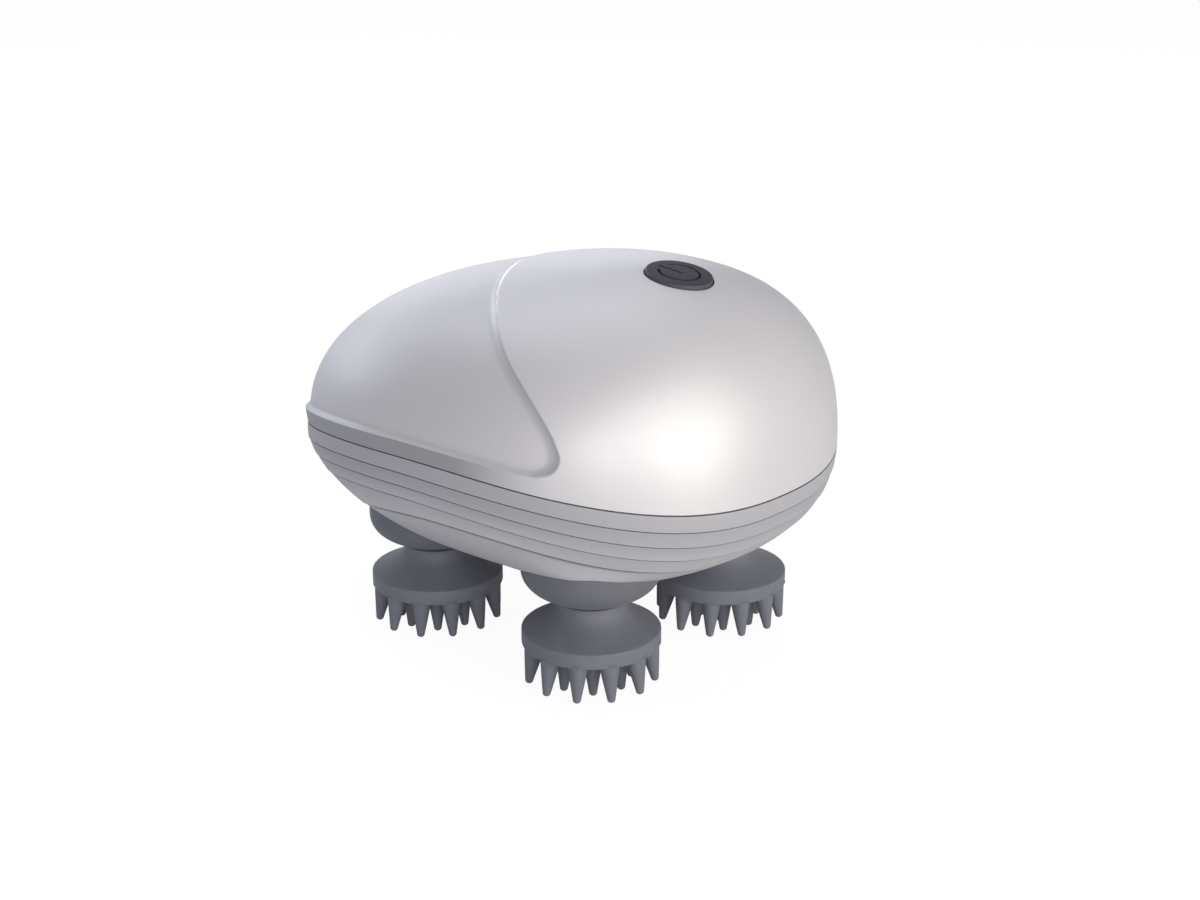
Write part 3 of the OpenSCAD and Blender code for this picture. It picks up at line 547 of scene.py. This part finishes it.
def cutAlong(bm, field, level):  # splits faces where the field crosses a level
    flat = np.array([v.co[:2] for v in bm.verts])
    value = field(sheetPoint(flat)) - level
    value[np.abs(value) < 1e-6] = 1e-6
    ends = np.array([(e.verts[0].index, e.verts[1].index) for e in bm.edges])
    hit = np.nonzero(value[ends[:, 0]] * value[ends[:, 1]] < 0)[0]
    low, high = np.zeros(len(hit)), np.ones(len(hit))
    a, b = flat[ends[hit, 0]], flat[ends[hit, 1]]
    rising = value[ends[hit, 1]] > 0
    for _ in range(cuts["halvings"]):
        middle = (low + high) / 2
        over = (field(sheetPoint(a + (b - a) * middle[:, None])) > level) == rising
        high, low = np.where(over, middle, high), np.where(over, low, middle)
    bm.edges.ensure_lookup_table()
    edges = [bm.edges[i] for i in hit]
    starts = [e.verts[0] for e in edges]
    made = [bmesh.utils.edge_split(e, v, s)[1] for e, v, s in zip(edges, starts, (low + high) / 2)]
    bmesh.ops.connect_verts(bm, verts=made)
    bm.verts.ensure_lookup_table()
    bm.verts.index_update()
    bm.edges.index_update()


def dropFaces(bm, field):
    faces = list(bm.faces)
    middles = np.array([f.calc_center_median()[:2] for f in faces])
    inside = field(sheetPoint(middles)) < 0
    bmesh.ops.delete(bm, geom=[f for f, gone in zip(faces, inside) if gone], context="FACES")
    bm.verts.ensure_lookup_table()
    bm.verts.index_update()


def flatDisc():
    bm = bmesh.new()
    middle = bm.verts.new((0, 0, 0))
    reach = np.linspace(0, 1, dome["rings"] + 1)[1:]
    rows = [[bm.verts.new((r * math.cos(t), r * math.sin(t), 0))
             for t in np.linspace(0, 2 * math.pi, dome["turns"], endpoint=False)] for r in reach]
    for i in range(dome["turns"]):
        k = (i + 1) % dome["turns"]
        bm.faces.new((middle, rows[0][i], rows[0][k]))
        for inner, outer in zip(rows[:-1], rows[1:]):
            bm.faces.new((inner[i], outer[i], outer[k], inner[k]))
    bm.verts.ensure_lookup_table()
    bm.verts.index_update()
    bm.edges.index_update()
    return bm


def rimStrip(points, direction):  # rounded edge and ledge under the dome or over the bowl
    turn = np.linspace(0, 2 * math.pi, points, endpoint=False)
    start = recess["lipLean"] * lipShare(outlinePoint(turn, 0)[0])
    r = dome["rimRound"]
    steps = [(r * (1 - math.cos(a)), r * math.sin(a)) for a in np.linspace(0, math.pi / 2, 5)]
    steps = [(inward, r - up) for inward, up in steps] + [(egg["wall"], 0)]
    rows = []
    for inward, up in steps:
        x, y = outlinePoint(turn, np.maximum(start, inward) if inward == steps[-1][0] else start + inward)
        rows.append(np.stack([x, y, jointHeight(x) + direction * (egg["jointGap"] / 2 + up)], -1))
    return rows


def stripFaces(first, count, rows, flip):
    faces = []
    for row in range(rows - 1):
        for i in range(count):
            k = (i + 1) % count
            a, b = first + row * count, first + (row + 1) * count
            quad = (a + i, a + k, b + k, b + i)
            faces.append(quad[::-1] if flip else quad)
    return faces


def makeUpperShell():
    bm = flatDisc()
    edge = recess["edgeRound"]
    for level in (*cuts["before"], *np.linspace(-edge, edge, cuts["onEdge"]), *cuts["after"],
                  recess["lipCove"], cuts["between"], recess["cove"]):
        cutAlong(bm, recessDistance, level)
    for level in (*cuts["hole"], dome["holeRound"]):
        cutAlong(bm, holeDistance, level)
    dropFaces(bm, holeDistance)
    flat = np.array([v.co[:2] for v in bm.verts])
    faces = [[v.index for v in f.verts] for f in bm.faces]
    rim = [v.index for v in bm.verts if v.is_boundary and v.co.length > 0.5]
    hole = [e for e in bm.edges if e.is_boundary and e.verts[0].co.length < 0.5]
    walls = [(e.verts[0].index, e.verts[1].index) for e in hole]
    points, normals = shellPoint(flat), shellNormals(flat)
    points[rim, 2] += dome["rimRound"] * 0.98
    sunk = {}
    for pair in walls:
        for i in pair:
            if i not in sunk:
                sunk[i] = len(points) + len(sunk)
    drops = [points[i] - buttonAxis * dome["holeDepth"] for i in sunk]
    faces += [(b, a, sunk[a], sunk[b]) for a, b in walls]
    strip = rimStrip(dome["turns"], 1)
    first = len(points) + len(drops)
    faces += stripFaces(first, dome["turns"], len(strip), True)
    points = np.concatenate([points, drops] + strip)
    normals = np.concatenate([normals, np.zeros((len(points) - len(normals), 3))])
    bm.free()
    mesh = smoothMesh("upperShell", points, faces, normals)
    base = sheetPoint(flat)
    # painted shade on the lip band below the recess
    lip = lipShare(base[:, 0]) * np.clip(0.5 - recessDistances(base)[1] / recess["lipShadeEdge"], 0, 1)
    paint(mesh, "lip", lip)
    # painted highlight along the edge near the crown and painted glow on the cove lower down
    gleam = gleamShare(base) * (1 - lip)
    paint(mesh, "gleam", gleam)
    # painted shadow in the cove and painted shade over the recess floor
    paint(mesh, "coveShadow", coveShade(base) * (1 - lip) * (1 - gleam))
    makeObject("upperShell", mesh, "pearl_white", "housing", "upper_shell")
    print("upper shell:", len(points), "points")


makeUpperShell()


# lower shell

laps = dict(
    tops=(39.95, 37.3, 34.7, 31.2), middles=(7.4, 7, 7, 11.7), bends=(0.0033, 0.0036, 0.0042, 0.0064),
    depth=0.14, edge=0.08, edgeLimit=0.3, grooveDepth=0.36, grooveHeight=0.22, grooveLimit=0.4,
    thinnest=0.5, underLip=0.05, turns=480, rows=8, lastRows=40, edgeRows=5, floorRows=34, searches=30,
    # shadow, lines and ledge paint shade under each lap, in its groove and along the joint; the last
    # table paints light onto the lower bands
    shadow=0.13, lines=(0.35, 0.35, 0.4, 0.8), ledge=0.7, belly=((1.8, 3, 4, 4.6), (0, 0.34, 0.58, 0.62)),
)
skirt = dict(drop=2.1, at=(26, -18), radius=12.3, facing=-63, spread=35, reach=3.0, below=0.5, fade=2.2)
underside = dict(padAt=6.3, padRadius=8.06, screwRadius=2.6, sideScrew=(6.3, 15.3), noseScrew=-31,
                 sideWell=3.4, noseWell=6.1, padWell=1.2, ceiling=7, halvings=14, ringShare=0.06)


def flatShare(turn):
    x, _ = outlinePoint(turn, 0)
    high = jointHeight(x) - egg["jointGap"] / 2
    return (high - egg["flatHeight"]) / (high - egg["bowlHeight"])


def lapHeight(x, which):
    return archHeight(x, laps["tops"][which], laps["middles"][which], laps["bends"][which])


def lapShare(which, turn):  # how far down a lap line lies, closed in on by repeated steps
    x, _ = outlinePoint(turn, 0)
    share = np.full(len(turn), 0.1 + 0.1 * which)
    for _ in range(laps["searches"]):
        level = lapHeight(bowlPoint(turn, share, 0)[:, 0], which)
        wanted = np.clip((jointHeight(x) - level) / (jointHeight(x) - egg["bowlHeight"]), 0.02, 0.97)
        share = (share + wanted) / 2
    return np.minimum(share, flatShare(turn) * (0.5 + 0.12 * which))


def skirtDrop(points):  # the lower shell comes down a little in front of the blunt pair's bowls
    x, y = points[:, 0] - skirt["at"][0], -np.abs(points[:, 1]) - skirt["at"][1]
    turned = np.degrees(np.arctan2(y, x)) - skirt["facing"]
    turned = (turned + 180) % 360 - 180
    beyond = np.maximum(np.hypot(x, y) - skirt["radius"], 0)
    line = lapHeight(points[:, 0], 3) - skirt["below"]
    share = np.exp(-(turned / skirt["spread"]) ** 2 / 2 - (beyond / skirt["reach"]) ** 2)
    return skirt["drop"] * share * np.clip((line - points[:, 2]) / skirt["fade"], 0, 1)


def bandRows(turn, band, top, bottom):  # rows of points, each with its painted shade and light
    x, _ = outlinePoint(turn, 0)
    height = np.maximum((bottom - top) * (jointHeight(x) - egg["bowlHeight"]), laps["thinnest"])
    edge = np.minimum(laps["edge"] / height, laps["edgeLimit"])
    lift, start = recess["lipLean"] * lipShare(x), laps["underLip"]
    line, rows = 0, []
    if band:  # leans out from under a thin groove
        lift, line = laps["depth"], laps["lines"][band - 1]
        start = np.minimum(laps["grooveHeight"] / height, laps["grooveLimit"])
        sunk = lift + laps["grooveDepth"]
        rows = [(bowlPoint(turn, share, sunk), line, 0) for share in (top, top + (bottom - top) * start)]
    for step in (0, 0.04, *np.linspace(0.08, 0.96, laps["lastRows"] if band == 4 else laps["rows"])):
        part = start + (1 - edge - start) * step
        # painted shade: dark in the groove and fading under each lap
        tone = laps["shadow"] * (1 - step) if band and step else line
        # painted light: the lower bands are lighter
        glow = np.interp(band + step, *laps["belly"])
        rows.append((bowlPoint(turn, top + (bottom - top) * part, lift * (1 - part)), tone, glow))
    for angle in np.linspace(0, math.pi / 2, laps["edgeRows"]):  # its rounded lower edge
        part = 1 - edge * (1 - math.sin(angle))
        inward = laps["edge"] * (1 - math.cos(angle))
        rows.append((bowlPoint(turn, top + (bottom - top) * part, lift * (1 - part) + inward), 0, glow))
    return rows


def makeLowerShell():
    count = laps["turns"]
    turn = np.linspace(0, 2 * math.pi, count, endpoint=False)
    shares = [np.zeros(count)] + [lapShare(k, turn) for k in range(4)] + [flatShare(turn)]
    bands = [row for k in range(5) for row in bandRows(turn, k, shares[k], shares[k + 1])]
    rows, tones, lights = (list(column) for column in zip(*bands))
    contour = rows[-1]
    middle = np.array([egg["bowlAt"], 0, egg["flatHeight"]])
    contour[:, 2] = egg["flatHeight"]
    rows += [middle + (contour - middle) * share
             for share in np.linspace(1, 0.04, laps["floorRows"])[1:]]
    points = np.concatenate(rows)
    tall = points[:, 2] > egg["flatHeight"] + 0.2
    points[tall, 2] -= skirtDrop(points[tall])
    faces = stripFaces(0, count, len(rows), True)
    last = (len(rows) - 1) * count
    faces += [(last + (i + 1) % count, last + i, len(points)) for i in range(count)]
    strip = rimStrip(count, -1)[::-1]
    faces += stripFaces(len(points) + 1, count, len(strip), True)
    points = np.concatenate([points, [middle]] + strip)
    mesh = smoothMesh("lowerShell", points, faces)
    # painted shade under the laps, in their grooves and along the joint
    tones += [0] * (len(rows) - len(tones))
    ledge = [laps["ledge"]] * (count * (len(strip) - 1))
    paint(mesh, "lapShadow", list(np.repeat(tones, count)) + [0] + ledge)
    # painted light towards the bottom of the lower shell
    paint(mesh, "belly", np.repeat(lights, count))
    cutWells(mesh)
    markSharp(mesh, 32)
    makeObject("lowerShell", mesh, "light_grey", "housing", "lower_shell")
    print("lower shell:", len(mesh.vertices), "points")


def cutWells(mesh):  # for the charging pad, the two side screws and the nose screw
    side, radius = underside["sideScrew"], underside["screwRadius"]
    bm = bmesh.new()
    bm.from_mesh(mesh)
    cutWell(bm, (underside["padAt"], 0), underside["padRadius"], underside["padWell"])
    cutWell(bm, (side[0], -side[1]), radius, underside["sideWell"])
    cutWell(bm, side, radius, underside["sideWell"])
    cutWell(bm, (underside["noseScrew"], 0), radius, underside["noseWell"])
    bm.to_mesh(mesh)
    bm.free()


def cutWell(bm, place, radius, depth):  # opens a round well upwards into the underside
    centre, radius = Vector(place) * mm, radius * mm
    ceiling = (egg["flatHeight"] + underside["ceiling"]) * mm
    near = [v for v in bm.verts if v.co.z < ceiling and (v.co.xy - centre).length < radius * 3]
    edges = dict.fromkeys(e for v in near for e in v.link_edges)  # each once, always in the same order
    made = []
    for edge in edges:
        a, b = edge.verts
        inA, inB = ((v.co.xy - centre).length < radius for v in (a, b))
        if inA != inB:
            low, high = 0.0, 1.0
            for _ in range(underside["halvings"]):
                half = (low + high) / 2
                if ((a.co.lerp(b.co, half).xy - centre).length < radius) == inA:
                    low = half
                else:
                    high = half
            made.append(bmesh.utils.edge_split(edge, a, low)[1])
    bmesh.ops.connect_verts(bm, verts=made)
    inside = [f for f in bm.faces if f.calc_center_median().z < ceiling
              and (f.calc_center_median().xy - centre).length < radius]
    bmesh.ops.delete(bm, geom=inside, context="FACES")
    slack = radius * underside["ringShare"]
    ring = [e for e in bm.edges if e.is_boundary and e.verts[0].co.z < ceiling
            and all(abs((v.co.xy - centre).length - radius) < slack for v in e.verts)]
    wall = bmesh.ops.extrude_edge_only(bm, edges=ring)["geom"]
    for v in wall:
        if isinstance(v, bmesh.types.BMVert):
            v.co.z = (egg["flatHeight"] + depth) * mm


def markSharp(mesh, degrees):
    bm = bmesh.new()
    bm.from_mesh(mesh)
    for edge in bm.edges:
        if len(edge.link_faces) == 2 and edge.calc_face_angle(0) > math.radians(degrees):
            edge.smooth = False
    bm.to_mesh(mesh)
    bm.free()


makeLowerShell()


# lathe work: bowls, heads and bristles

headsAt = {1: (-13.4, -18), 2: (26, -18), 3: (26, 18), 4: (-13.4, 18)}
bowl = dict(radius=12.3, mouth=4.5, mouthEdge=0.15, mouthWall=2.2, top=21.6, drop=6, curve=2.33,
            collar=28, segments=128)
head = dict(radius=12.25, low=7.3, high=10.1, neck=6.1, neckTop=15.45, neckRound=0.25, neckCorner=0.07,
            flare=2.4, edge=0.3, segments=160, shaftHole=2.0)
bristles = dict(  # each ring: how many, first angle, place of the root and of the tip, height of the tip
    rings=((12, 0, 10.3, 11.5, 0.6), (8, 0, 6.5, 7.1, 0.004), (4, 45, 3, 3.5, 0.004)),
    rootRadius=1.8, tipRadius=0.72, rootFillet=0.35, foot=0.3, cap=0.62, sunk=0.15, taper=1.05,
    segments=20,
)


def lathe(profile, segments):  # profile holds pairs of radius and height
    points, faces = [], []
    for radius, height in profile:
        for t in np.linspace(0, 2 * math.pi, segments, endpoint=False):
            points.append((radius * math.cos(t), radius * math.sin(t), height))
    return np.array(points), stripFaces(0, segments, len(profile), False)


def arc(centre, radius, start, end, count):
    return [(centre[0] + radius * math.cos(a), centre[1] + radius * math.sin(a))
            for a in map(math.radians, np.linspace(start, end, count))]


def bowlProfile():
    side = []
    for a in np.linspace(0, math.pi / 2, 34):
        r = bowl["mouth"] + (bowl["radius"] - bowl["mouth"]) * math.sin(a)
        fall = bowl["drop"] * max(1 - (r / bowl["radius"]) ** bowl["curve"], 0) ** (1 / bowl["curve"])
        side.append((r, bowl["top"] - fall))
    lip = [(bowl["mouth"], side[0][1] + up) for up in (bowl["mouthWall"], bowl["mouthEdge"])]
    return lip + side[1:] + [(bowl["radius"], bowl["top"] + 1), (bowl["radius"], bowl["collar"])]


def headProfile():
    e, r = head["edge"], head["radius"]
    under = [(0.01, head["low"]), (6, head["low"]), (r - 2 * e, head["low"])]
    rim = arc((r - e, head["low"] + e), e, -90, 0, 6) + arc((r - e, head["high"] - e), e, 0, 65, 5)
    inner = rim[-1][0]
    flare = [(head["neck"] + (inner - head["neck"]) * (1 - s) ** head["flare"],
              rim[-1][1] + (head["neckTop"] - head["neckRound"] - rim[-1][1]) * s)
             for s in np.linspace(0, 1, 26)[1:]]
    top = [(head["neck"] - head["neckCorner"], head["neckTop"] - head["neckCorner"]),
           (head["neck"] - head["neckRound"], head["neckTop"]), (head["shaftHole"], head["neckTop"])]
    return under + rim + flare + top


def bristleProfile(reach):
    root, tip, fillet = bristles["rootRadius"], bristles["tipRadius"], bristles["rootFillet"]
    low, high = bristles["foot"], bristles["cap"]
    foot = [(root + fillet * (1 - math.sin(a)), fillet * (1 - math.cos(a)) * 0.9)
            for a in np.linspace(0, 1.4, 5)]
    shank = [(root + (tip - root) * s ** bristles["taper"], low + (reach - high - low) * s)
             for s in np.linspace(0.06, 1, 7)]
    cap = [(tip * math.cos(a), reach - high + high * math.sin(a))
           for a in np.linspace(0.2, math.pi / 2 - 0.04, 6)]
    return foot + shank + cap + [(0.005, reach)]


def tilted(points, angle, rootAt, tipAt, tipHeight):  # stands a bristle in its place on the head
    start = head["low"] + bristles["sunk"]
    lean = math.atan2(tipAt - rootAt, start - tipHeight)
    out = points[:, 0] * math.cos(lean) + points[:, 2] * math.sin(lean)
    down = points[:, 2] * math.cos(lean) - points[:, 0] * math.sin(lean)
    turn = math.radians(angle)
    x, y = rootAt + out, points[:, 1]
    return np.stack([x * math.cos(turn) - y * math.sin(turn), x * math.sin(turn) + y * math.cos(turn),
                     start - down], -1)


def headMesh():
    points, faces = lathe(headProfile(), head["segments"])
    parts = [points]
    for count, offset, rootAt, tipAt, tipHeight in bristles["rings"]:
        start = head["low"] + bristles["sunk"]
        reach = (start - tipHeight) / math.cos(math.atan2(tipAt - rootAt, start - tipHeight))
        shape, sides = lathe(bristleProfile(reach), bristles["segments"])
        for k in range(count):
            first = sum(len(p) for p in parts)
            parts.append(tilted(shape, offset + 360 * k / count, rootAt, tipAt, tipHeight))
            faces += [tuple(first + i for i in face[::-1]) for face in sides]
    mesh = smoothMesh("head", np.concatenate(parts), faces)
    markSharp(mesh, 50)
    return mesh


def makeHeads():
    headForm = headMesh()
    points, faces = lathe(bowlProfile(), bowl["segments"])
    bowlForm = smoothMesh("bowl", points, faces)
    markSharp(bowlForm, 50)
    for number, place in headsAt.items():
        move = (place[0], place[1], 0)
        makeObject(f"bowl{number}", bowlForm.copy(), "bowl_slate", "housing", f"head_bowl_{number}", move)
        makeObject(f"massageHead{number}", headForm.copy(), "head_slate", f"head_{number}",
                   f"massage_head_{number}", move)
    print("bowls and heads:", len(headForm.vertices), "points in each head")


makeHeads()


# power button with its engraved sign

sign = dict(arc=3.55, stroke=0.18, strokeEdge=1.25, flank=0.4, depth=0.3, open=27, turn=10.8,
            barFrom=-0.5, barTo=4.05)
buttonMesh = dict(cells=190, foot=-1.6, stands=0.7, slope=2.9, crown=0.08)


def signDistance(x, y):  # from the middle line of the sign's arc and bar; the bar points to the nose
    turn = math.radians(180 + sign["turn"])
    along, aside = x * math.cos(turn) + y * math.sin(turn), y * math.cos(turn) - x * math.sin(turn)
    angle = np.abs(np.arctan2(aside, along))
    end = math.radians(sign["open"])
    onArc = np.abs(np.hypot(along, aside) - sign["arc"])
    toEnd = np.hypot(along - sign["arc"] * math.cos(end), np.abs(aside) - sign["arc"] * math.sin(end))
    ring = np.where(angle > end, onArc, toEnd)
    bar = np.hypot(along - np.clip(along, sign["barFrom"], sign["barTo"]), aside)
    return np.minimum(ring, bar)


def buttonHeight(x, y, reach):  # the top leans a little more than the button's own axis
    crown = buttonMesh["crown"] * (1 - (x ** 2 + y ** 2) / reach ** 2)
    return buttonMesh["stands"] - x * math.tan(math.radians(buttonMesh["slope"])) + crown


def makeButton():
    radius, edge, n = button["radius"], button["edge"], buttonMesh["cells"] + 1
    inner = radius - edge
    side = np.linspace(-1, 1, n)
    u, v = np.meshgrid(side, side)
    x = u * np.sqrt(1 - v ** 2 / 2) * inner  # a square grid drawn out to a disc
    y = v * np.sqrt(1 - u ** 2 / 2) * inner
    away = signDistance(x, y) / sign["stroke"]
    groove = sign["depth"] * np.clip(sign["strokeEdge"] - away, 0, sign["flank"]) / sign["flank"]
    z = buttonHeight(x, y, inner) - groove
    points = list(np.stack([x, y, z], -1).reshape(-1, 3))
    # painted shade in the sign's grooves
    inlay = (groove / sign["depth"]).ravel()
    # painted light on the button's side
    flank = [0.0] * len(points)
    faces = [(r * n + c, r * n + c + 1, (r + 1) * n + c + 1, (r + 1) * n + c)
             for r in range(n - 1) for c in range(n - 1)]
    ring = list(range(n - 1)) + [r * n + n - 1 for r in range(n - 1)]
    ring += [(n - 1) * n + c for c in range(n - 1, 0, -1)] + [r * n for r in range(n - 1, 0, -1)]
    rounding = [(math.sin(a) * edge, (1 - math.cos(a)) * edge)
                for a in np.linspace(0, math.pi / 2, 7)[1:]]
    around = [np.array(points[i][:2]) / np.linalg.norm(points[i][:2]) for i in ring]
    before = ring
    for out, down in rounding + [(edge, None)]:
        row = []
        for way in around:
            low = buttonMesh["foot"]
            if down is not None:
                low = buttonHeight(way[0] * inner, way[1] * inner, inner) - down
            row.append(len(points))
            points.append(np.array([way[0] * (inner + out), way[1] * (inner + out), low]))
            flank.append(out / edge)
        for k in range(len(ring)):
            m = (k + 1) % len(ring)
            faces.append((before[m], before[k], row[k], row[m]))
        before = row
    lean, points = math.radians(button["lean"]), np.array(points)
    x = points[:, 0] * math.cos(lean) + points[:, 2] * math.sin(lean)
    z = points[:, 2] * math.cos(lean) - points[:, 0] * math.sin(lean)
    mesh = smoothMesh("powerButton", np.stack([x, points[:, 1], z], -1) + buttonCentre, faces)
    paint(mesh, "inlay", inlay)
    paint(mesh, "flank", flank)
    makeObject("powerButton", mesh, "button_charcoal", "button", "power_button")
    print("power button:", len(points), "points")


makeButton()


# floor, lamps and background

studio = dict(
    ambient=0.31, ambientTint=(0.9, 0.895, 1.0), glossShare=0.15, lampAway=900, aimHeight=40,
    floorReach=6.0, floorShade=0.82, floorGlow=0.86, floorWhite=1.1,
    lamps=(  # direction in degrees round from the front, rise, width, height in millimetres, watts, tint
        ("frontLamp", 39, 8, 300, 200, 1.33, (1.0, 0.965, 0.94)),
        ("lowFrontLamp", 70, 4, 300, 150, 0.75, (1.0, 0.96, 0.87)),
        ("keyLamp", 91, 2, 300, 110, 1.45, (1.0, 0.945, 0.8)),
        ("bluntLamp", 109, 8, 300, 200, 0.55, (1.0, 0.955, 0.88)),
        ("upperFrontLamp", 62, 24, 350, 350, 0.95, (1.0, 0.95, 0.89)),
        ("upperBluntLamp", 92, 25, 450, 400, 1.2, (1.0, 0.935, 0.83)),
        ("noseLamp", 270, 15, 600, 350, 1.14, (0.88, 0.93, 1.0)),
        ("lowBackLamp", 230, 11, 500, 260, 0.92, (0.965, 0.975, 1.0)),
        ("backLamp", 248, 43, 700, 700, 0.75, (0.95, 0.97, 1.0)),
        ("topLamp", 240, 65, 800, 800, 1.45, (0.91, 0.94, 1.0)),
    ),
)


def makeLamp(name, azimuth, rise, width, height, watts, tint):
    data = bpy.data.lights.new(name, "AREA")
    data.shape, data.size, data.size_y = "RECTANGLE", width * mm, height * mm
    data.energy, data.color = watts, tint
    turn, climb = math.radians(azimuth), math.radians(rise)
    way = Vector((math.sin(turn) * math.cos(climb), -math.cos(turn) * math.cos(climb), math.sin(climb)))
    made = bpy.data.objects.new(name, data)
    made.location = way * studio["lampAway"] * mm + Vector((0, 0, studio["aimHeight"] * mm))
    made.rotation_mode = "QUATERNION"
    made.rotation_quaternion = (-way).to_track_quat("-Z", "Y")
    bpy.context.scene.collection.objects.link(made)


def whiteShare(f):  # the background is white to the camera and through glass, and shows a little in gloss
    path = f.node("ShaderNodeLightPath").outputs
    direct = Signal(f, path["Is Camera Ray"]) + Signal(f, path["Is Transmission Ray"])
    return direct + Signal(f, path["Is Glossy Ray"]) * studio["glossShare"]


def makeFloor():
    reach = studio["floorReach"]
    mesh = bpy.data.meshes.new("floor")
    corners = [(-reach, -reach, 0), (reach, -reach, 0), (reach, reach, 0), (-reach, reach, 0)]
    mesh.from_pydata(corners, [], [(0, 1, 2, 3)])
    f = Finish("floorPaper")
    tone = f.blend(f.grain(400, 2) * 0.3, shade(1, 1, 1, studio["floorShade"]),
                   shade(0.99, 0.99, 1, studio["floorShade"]))
    matte = f.node("ShaderNodeBsdfDiffuse", {}, {"Color": tone})
    glow = f.node("ShaderNodeEmission", {}, {"Color": (1, 1, 1, 1), "Strength": studio["floorWhite"]})
    share = whiteShare(f) * studio["floorGlow"]
    mixed = f.node("ShaderNodeMixShader", {}, {0: share, 1: matte.outputs[0], 2: glow.outputs[0]})
    f.feed(f.out.inputs[0], mixed.outputs[0])
    mesh.materials.append(f.material)
    floor = bpy.data.objects.new("floor", mesh)
    bpy.context.scene.collection.objects.link(floor)


def makeWorld():
    f = Finish("studio", bpy.data.worlds, "ShaderNodeOutputWorld")
    soft = f.node("ShaderNodeBackground", {}, {0: (*studio["ambientTint"], 1), 1: studio["ambient"]})
    white = f.node("ShaderNodeBackground", {}, {0: (1, 1, 1, 1), 1: 1.0})
    mixed = f.node("ShaderNodeMixShader", {}, {0: whiteShare(f), 1: soft.outputs[0], 2: white.outputs[0]})
    f.feed(f.out.inputs[0], mixed.outputs[0])
    bpy.context.scene.world = f.material


for lamp in studio["lamps"]:
    makeLamp(*lamp)
makeFloor()
makeWorld()
print("studio ready")
